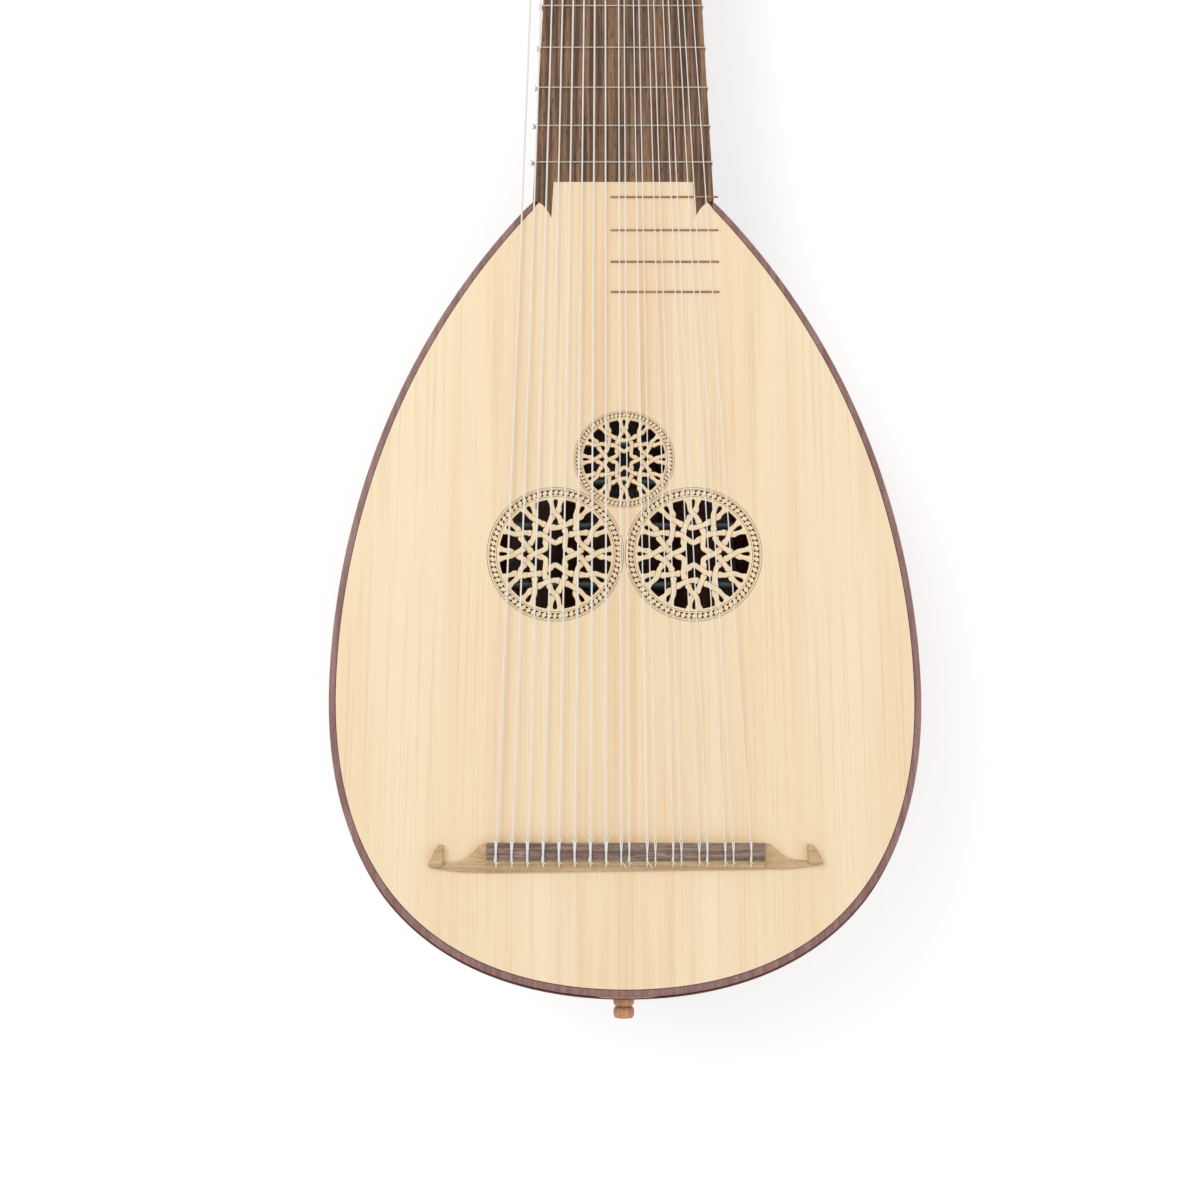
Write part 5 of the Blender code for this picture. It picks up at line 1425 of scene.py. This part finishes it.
def head_section(y, low_x, high_x, depth):
    top = head_top(y)
    reach = min((high_x - low_x) * 0.30, depth * 0.30)
    edge = 0.9 * MM
    round_off = [(0, top - edge), (edge * 0.3, top - edge * 0.3), (edge, top)]
    section = [(low_x + off, y, z) for off, z in round_off]
    section += [(high_x - off, y, z) for off, z in reversed(round_off)]
    turns = [math.pi / 2 * i / 8 for i in range(9)]
    below = [(reach * (1 - math.cos(a)), top - depth + reach * (1 - math.sin(a))) for a in turns]
    section += [(high_x - off, y, z) for off, z in below]
    section += [(low_x + off, y, z) for off, z in reversed(below)]
    return section


head = loft("head_carved", [head_section(*row) for row in head_stations()])
print("the head's skin has", len(head.data.polygons), "faces")


# %% Hollows with rounded corners
HOLLOW_CORNER = 3.5 * MM


def hollow(cavity, depth):
    low_x, high_x, start, end = cavity
    corners = ((high_x, end, 0), (low_x, end, 90), (low_x, start, 180), (high_x, start, 270))
    floor = ((5.5 * MM, 1.2 * MM), (5.9 * MM, 0.35 * MM), (6.7 * MM, 0.0))
    sections = []
    for lift, shrink in (*floor, (depth + 12 * MM, 0.0)):
        ring = []
        for corner_x, corner_y, first in corners:
            middle_x = corner_x + (HOLLOW_CORNER + shrink) * (-1 if corner_x == high_x else 1)
            middle_y = corner_y + (HOLLOW_CORNER + shrink) * (-1 if corner_y == end else 1)
            for k in range(6):
                a = math.radians(first + 18 * k)
                x = middle_x + HOLLOW_CORNER * math.cos(a)
                y = middle_y + HOLLOW_CORNER * math.sin(a)
                ring.append((x, y, head_top(y) - depth + lift))
        sections.append(ring)
    return loft("hollow", sections)


carve(head, hollow(LOWER_CAVITY, LOWER_BOX_DEPTH))
carve(head, hollow(UPPER_CAVITY, UPPER_BOX_DEPTH))
ramp_y = LOWER_CAVITY[2]
ramp_low = head_top(ramp_y) - 7.5 * MM
ramp_line = [
    (HEAD_START - 10 * MM, 10 * MM),
    (HEAD_START - 10 * MM, ramp_low + 2.5 * MM),
    (HEAD_START, ramp_low + 2.2 * MM),
    (ramp_y - 1 * MM, ramp_low + 1.2 * MM),
    (ramp_y + 1.5 * MM, ramp_low),
    (ramp_y + 6 * MM, ramp_low),
    (ramp_y + 6 * MM, 10 * MM),
]
carve(head, loft("ramp", [[(x, y, z) for y, z in ramp_line] for x in LOWER_CAVITY[:2]]))
print("the head is hollowed,", len(head.data.polygons), "faces")

# %% [markdown]
# ## The pegs
# Nineteen pegs of plum are turned with a slight taper, so that they wedge in their holes. Their
# heads are flattened into a leaf that a thumb and finger hold, with a turned collar below and a
# small pip at the end. One head is shaped, then copied; the shanks differ in length. Each peg
# rides on its own body, so it turns about its own joint.

# %% Where each peg sits
FIRST_STOPPED_PEG_Y, FIRST_DIAPASON_PEG_Y = 712 * MM, 1426 * MM
PEG_STEP = 15 * MM
PEG_DEPTH = 13 * MM
SHORT_OF_WALL = 1.5 * MM
BIG, SMALL = 3.8 * MM, 2.9 * MM
PEG_CLEARANCE = 0.12 * MM
CUTTER_REACH = 20 * MM


def peg_places():
    """Name, side, x of its wall, y and shank length of every peg, on alternating sides."""
    places = []
    for i in range(STOPPED):
        side = 1 if i % 2 == 0 else -1
        far = LOWER_CAVITY[0] - 14 * MM if side > 0 else NUT_HALF_WIDTH - SHORT_OF_WALL
        wall = side * NUT_HALF_WIDTH
        y = FIRST_STOPPED_PEG_Y + PEG_STEP * i
        places.append((f"peg_stopped_{i + 1}", side, wall, y, abs(far - wall)))
    for i in range(DIAPASONS):
        side = 1 if i % 2 == 0 else -1
        y = FIRST_DIAPASON_PEG_Y + PEG_STEP * i
        along = (y - DIAPASON_LENGTH) / (UPPER_END - DIAPASON_LENGTH)
        half = UPPER_HALF_WIDTH * mix(1.0, UPPER_NARROWING, along)
        wall = UPPER_MIDDLE + side * half
        places.append((f"peg_diapason_{i + 1}", side, wall, y, 2 * half - SHORT_OF_WALL))
    return places


PEGS = peg_places()
holes = []
for name, side, wall, y, length in PEGS:
    z = head_top(y) - PEG_DEPTH
    taper = (SMALL - BIG) / length
    blind = side > 0 and "stopped" in name
    reach = length + (0.3 * MM if blind else CUTTER_REACH)
    outer_radius = BIG - taper * CUTTER_REACH + PEG_CLEARANCE
    inner_radius = BIG + taper * reach + PEG_CLEARANCE
    start, end = (wall + side * CUTTER_REACH, y, z), (wall - side * reach, y, z)
    holes.append(rod_cutter(start, end, outer_radius, inner_radius, 24))
carve(head, join("peg holes", holes))
finish(head, neck_wood, ["head"], smooth=32)

# %% The peg's head
# Distance from the wall, half width and half thickness, in mm.
THUMB = (
    (1.0, 3.9, 3.9), (1.1, 5.0, 5.0), (1.6, 5.5, 5.5), (2.6, 5.65, 5.65), (3.2, 5.3, 5.3),
    (3.4, 4.2, 4.2), (4.4, 3.4, 3.4), (6.0, 3.1, 3.0), (7.4, 3.9, 3.0), (9.5, 5.9, 3.1),
    (12.0, 8.3, 3.2), (14.5, 9.5, 3.25), (17.5, 9.65, 3.15), (20.5, 8.9, 3.0), (23.0, 7.0, 2.8),
    (24.8, 4.4, 2.5), (25.5, 2.4, 2.3), (25.9, 1.9, 1.9), (26.4, 2.1, 2.1), (27.0, 1.8, 1.8),
    (27.3, 0.7, 0.7),
)


def round_section(x, wide, thick, sides=24):
    turns = [2 * math.pi * (k + 0.5) / sides for k in range(sides)]
    return [(x, thick * math.cos(a), wide * math.sin(a)) for a in turns]


thumb = loft("thumb", [round_section(*(size * MM for size in row)) for row in THUMB])
print("a peg's head has", len(thumb.data.polygons), "faces")


# %% Nineteen pegs
def turned_peg(name, side, wall, y, length):
    shank_line = (
        (-length, SMALL - 0.3 * MM),
        (-length + 0.3 * MM, SMALL),
        (-length / 2, (BIG + SMALL) / 2),
        (0.0, BIG),
        (0.9 * MM, BIG + 0.02 * MM),
        (1.2 * MM, BIG + 0.02 * MM),
    )
    shank = loft("shank", [round_section(x, r, r) for x, r in shank_line])
    peg = join(name + "_turned", [shank, placed("thumb", thumb.data.copy())])
    if side < 0:
        peg.data.transform(Matrix.Rotation(math.pi, 4, "Z"))
    peg.data.transform(Matrix.Translation((wall, y, head_top(y) - PEG_DEPTH)))
    return finish(peg, peg_plum, [name], body=name, smooth=40)


for place in PEGS:
    turned_peg(*place)
bpy.data.objects.remove(thumb)

# %% [markdown]
# ## Nuts
# Two bone nuts stop the strings. Each has a notch under every string, cut as a narrow dip in the
# loft's crown. The tall one stands on the shaft and carries the diapasons clear of it.

# %% Notched crowns
NUT_WIDTH, CROWN_FALL = 5 * MM, 1.1 * MM


def notched(name, low_x, high_x, y, width, foot, top, fall, places, notch):
    count = round((high_x - low_x) / (0.22 * MM))
    edge = 0.4 * MM
    sections = []
    for i in range(count + 1):
        x = mix(low_x, high_x, i / count)
        crown = top - notch * max(math.exp(-(((x - p) / notch) ** 2)) for p in places)
        line = (
            (0, foot),
            (0, crown - edge),
            (0.3 * edge, crown - 0.2 * edge),
            (edge, crown),
            (0.5 * width, crown - 0.4 * fall),
            (width - edge, crown - 0.9 * fall),
            (width, crown - fall - edge),
            (width, foot),
        )
        sections.append([(x, y + dy, z) for dy, z in line])
    return loft(name, sections)


stopped_x = [nut.x for name, _, nut, _ in STRINGS if "stopped" in name]
long_x = [nut.x for name, _, nut, _ in STRINGS if "diapason" in name]
small_nut = notched("stopped_nut_bone", min(stopped_x) - 2.5 * MM, 45.5 * MM, STRING_LENGTH,
                    NUT_WIDTH, -BOARD_THICKNESS, STRING_Z_AT_NUT + 0.1 * MM, CROWN_FALL,
                    stopped_x, 0.45 * MM)
finish(small_nut, bone, ["stopped_nut"])

stem_foot = head_top(DIAPASON_LENGTH) + 0.1 * MM
top = head_top(DIAPASON_LENGTH) + 12 * MM
crown = notched("crown", min(long_x) - 2.2 * MM, max(long_x) + 2.2 * MM, DIAPASON_LENGTH,
                NUT_WIDTH, top - 3 * MM, top + 0.9 * MM, CROWN_FALL, long_x, 0.62 * MM)
# How far the stem has spread to the crown's width, and height.
spread = ((0.0, stem_foot), (0.1, top - 8.0 * MM), (0.2, top - 6.0 * MM),
          (1.0, top - 3.2 * MM), (1.0, top - 2.6 * MM))
stem = []
for share, z in softened(spread):
    reach = mix(-0.5 * MM, 2.1 * MM, share)
    low_x, high_x = min(long_x) - reach, max(long_x) + reach
    y0, y1 = DIAPASON_LENGTH + 0.03 * MM, DIAPASON_LENGTH + NUT_WIDTH - 0.03 * MM
    stem.append([(low_x, y0, z), (high_x, y0, z), (high_x, y1, z), (low_x, y1, z)])
tall_nut = join("diapason_nut_bone", [crown, bevel(loft("stem", stem), 0.3 * MM)])
finish(tall_nut, bone, ["diapason_nut"])

# %% [markdown]
# ## Strings
# Six stopped courses, the first single and the others in pairs, and eight single diapasons. Each
# is tied at the bridge: from its bore it rises behind the cap, crosses it, loops round itself in
# front, and goes back over the cap to be caught under its own start, so two strands lie on the cap.
# At the other end it runs over its nut and winds on its peg. The strings are one tube each. They
# are held all the way, so none hangs free. Two are painted whiter than the rest, a painted
# highlight.

# %% One string's whole way
def tie_points(x, radius, sway, tail):
    """Sway sets the two strands on the cap apart, tail is how far the loose end stands out."""
    over = CAP_TOP + radius + 0.03 * MM
    z = STRING_Z_AT_BRIDGE
    d = radius / STOPPED_RADIUS
    first, second = 0.46 * MM * sway, -0.42 * MM * sway
    rear = -CAP_WIDTH
    out = [
        (x + (0.9 + 1.9 * tail) * MM, rear - (1.1 + 2.3 * tail) * MM, 5.9 * MM - 1.4 * tail * MM),
        (x + (0.7 + 1.1 * tail) * MM, rear - (0.9 + 1.2 * tail) * MM, 6.1 * MM - 0.7 * tail * MM),
        (x + 0.6 * MM, rear - 0.8 * MM, 6.3 * MM),
        (x + first - 0.2 * MM, rear - radius - 0.1 * MM, over - 0.9 * MM),
        (x + first - 0.3 * MM, rear + 0.5 * MM, over),
        (x + first * 0.2, rear * 0.62, over + 0.1 * d * MM),
        (x + first * 0.9, rear * 0.22, over),
        (x + first, -0.3 * MM, over),
        (x + first, radius + 0.25 * MM, over - 0.9 * MM),
        (x + 0.95 * MM * d, 0.9 * MM, z + 1.2 * MM),
        (x + 0.8 * MM * d, 2.0 * MM, z - 0.2 * MM),
        (x, 2.5 * MM, z - 2.05 * radius),
        (x - 0.8 * MM * d, 2.0 * MM, z - 0.2 * MM),
        (x - 0.95 * MM * d, 0.9 * MM, z + 1.2 * MM),
        (x + second, radius + 0.25 * MM, over - 0.9 * MM),
        (x + second, -0.3 * MM, over),
        (x + second * 0.9, rear * 0.22, over),
        (x + second * 0.1, rear * 0.62, over + (2.1 * radius)),
        (x + second * 0.5, rear + 0.6 * MM, over + 0.1 * MM),
        (x - 0.1 * MM, rear - radius - 0.15 * MM, over - 0.9 * MM),
        (x, rear - 1.5 * MM, z + 2.1 * MM),
        (x, rear - 2.9 * MM, z + 0.8 * MM),
        (x, rear - 2.9 * MM, z + 0.1 * MM),
        (x, rear - 1.9 * MM, z),
        (x, rear * 0.5, z),
        (x, 0.0, z),
    ]
    return softened(out, 2)


def winding_points(lane, y, z, reach, radius, turns=3.25):
    """Round the peg from its top, forwards and down, each turn laid beside the last."""
    points = []
    steps = round(turns * 18)
    shift = 2.15 * radius
    for i in range(steps + 1):
        turn = turns * i / steps
        a = math.pi / 2 - 2 * math.pi * turn
        x = lane + (turn - turns / 2) * shift
        close = reach - (radius * 1.4 if i == steps else 0)
        points.append((x, y + close * math.cos(a), z + close * math.sin(a)))
    return points


def lane_x(index, count, cavity, radius):
    margin = 4 * MM + radius
    return mix(cavity[1] - margin, cavity[0] + margin, index / (count - 1))


BEHIND_NUT = ((0.0, 0.0), (0.4, 0.0), (2.5, 0.35), (4.6, 0.95), (5.2, 1.3))
# These two strings are painted whiter, a painted highlight.
HIGHLIGHT_PAINTED = ("stopped_9", "stopped_11")
lengths = {}
for index, (name, x, nut, radius) in enumerate(STRINGS):
    if index < STOPPED:
        lane = lane_x(index, STOPPED, LOWER_CAVITY, radius)
    else:
        lane = lane_x(index - STOPPED, DIAPASONS, UPPER_CAVITY, radius)
    _, _, wall, peg_y, length = PEGS[index]
    peg_z = head_top(peg_y) - PEG_DEPTH
    reach = mix(BIG, SMALL, abs(wall - lane) / length) + radius + 0.02 * MM
    # The strings listed above get the painted highlight colour.
    bright = name in HIGHLIGHT_PAINTED
    points = tie_points(x, radius, 1 if index % 3 else -0.8, 1.0 if bright else 0.12)
    points += [tuple(nut + Vector((0, back * MM, -drop * MM))) for back, drop in BEHIND_NUT]
    points += winding_points(lane, peg_y, peg_z, reach, radius)
    lengths[name] = sum(math.dist(a, b) for a, b in zip(points, points[1:]))
    made = tube("gut_" + name, points, radius, 8)
    finish(made, painted_highlight_string if bright else gut_string, ["string_" + name], smooth=70)
print("string lengths in mm:", {name: round(1000 * value) for name, value in lengths.items()})

# %% [markdown]
# ## The end button
# A small turned button on the tail holds a strap. Its profile, two beads with a groove between, is
# spun round its own axis, as a lathe makes it.

# %% The button
BUTTON = Vector((-1.0 * MM, 0, -18 * MM))
seat_y = TAIL_Y - 1.5 * MM
# Distance along the axis from the seat, and radius, in mm.
profile = [(12.0, 0.0), (12.0, 3.0), (0.35, 3.0), (0.0, 3.4), (0.0, 5.1)]
for centre, reach in ((2.48, 2.6), (8.73, 3.0)):
    for degrees in range(70, -71, -10):
        a = math.radians(degrees)
        swell = 3.7 + 2.3 * math.cos(a) ** 0.6
        profile.append((-centre + reach * math.sin(a) / math.sin(math.radians(70)), swell))
    if centre < 5:
        profile += [(-5.25, 3.7), (-5.55, 3.7)]
profile += [(-11.8, 3.9), (-11.95, 2.4), (-11.95, 0.0)]
corners = [(BUTTON.x + r * MM, seat_y + y * MM, BUTTON.z) for y, r in profile]
button = spun("end_button_turned", corners, 48, BUTTON, (0, 1, 0), closed=False)
finish(button, button_plum, ["end_button"], smooth=50)

# %% [markdown]
# ## Light, floor and camera
# The photograph is lit softly from all round, on white. A white world gives most of the light, and
# two large lamps give the forms a bright and a shaded side. The camera hangs over the bridge and
# looks a little towards the head, as the photograph's own perspective shows: the frets' spacing
# and the strings' spread gave its height and its tilt.

# %% World and lamps
WORLD_LIGHT = 0.70
world = bpy.data.worlds.new("white studio")
bpy.context.scene.world = world
world.use_nodes = True
tree = world.node_tree
background = next(node for node in tree.nodes if node.type == "BACKGROUND")
background.inputs["Color"].default_value = (1.0, 1.0, 1.0, 1.0)
rays = tree.nodes.new("ShaderNodeLightPath")
white_for = rays.outputs["Is Camera Ray"]
for kind in ("Is Glossy Ray", "Is Transmission Ray"):
    either = tree.nodes.new("ShaderNodeMath")
    either.operation = "MAXIMUM"
    tree.links.new(white_for, either.inputs[0])
    tree.links.new(rays.outputs[kind], either.inputs[1])
    white_for = either.outputs[0]
strength = tree.nodes.new("ShaderNodeMapRange")
strength.inputs["To Min"].default_value = WORLD_LIGHT
strength.inputs["To Max"].default_value = 1.0
tree.links.new(white_for, strength.inputs["Value"])
tree.links.new(strength.outputs["Result"], background.inputs["Strength"])


def soft_lamp(name, where, size, power):
    let_go()
    bpy.ops.object.light_add(type="AREA", location=where)
    lamp = bpy.context.object
    lamp.name = name
    lamp.data.shape = "SQUARE"
    lamp.data.size = size
    lamp.data.energy = power
    lamp.rotation_euler = Vector(where).to_track_quat("Z", "Y").to_euler()
    print(name, "lamp:", power, "W over", size, "m")


soft_lamp("window side", (-1.3, 0.5, 2.1), 1.5, 18.5)
soft_lamp("far side", (1.6, -0.9, 1.9), 1.8, 7.0)

# %% Floor
FLOOR_GLOW = 0.34
let_go()
bpy.ops.mesh.primitive_plane_add(size=24.0)
floor = bpy.context.object
floor.name = "floor"
paper = Finish("floor paper", Roughness=0.9)
spot = paper.place()
tone = paper.noise(paper.stretch(spot, 1.5, 1.5, 1.5), detail=2.0)
paper.feed(Base_Color=paper.blend(tone, (0.88, 0.88, 0.88, 1.0), (0.92, 0.92, 0.92, 1.0)))
paper.feed(Emission_Color=paper.node("LightPath", {}, {}, "Is Camera Ray"))
paper.shader.inputs["Emission Strength"].default_value = FLOOR_GLOW
floor.data.materials.append(paper.material)
tell(paper.material)

# %% Camera
CAMERA_ON_LUTE = Vector((-0.0146, 0.0076, 0.7348))
CAMERA_TILT = math.radians(10.3)
LENS, SENSOR = 37.86, 36.0
bpy.ops.object.camera_add()
camera = bpy.context.object
camera.name = "camera over the bridge"
camera.data.lens = LENS
camera.data.sensor_width = SENSOR
camera.data.clip_start = 0.02
over_lute = Matrix.Translation(CAMERA_ON_LUTE) @ Matrix.Rotation(CAMERA_TILT, 4, "X")
camera.matrix_world = to_ground @ over_lute
bpy.context.scene.camera = camera
bpy.context.scene.view_settings.view_transform = "Standard"
print("the camera is", round(camera.matrix_world.translation.z, 3), "m over the floor")
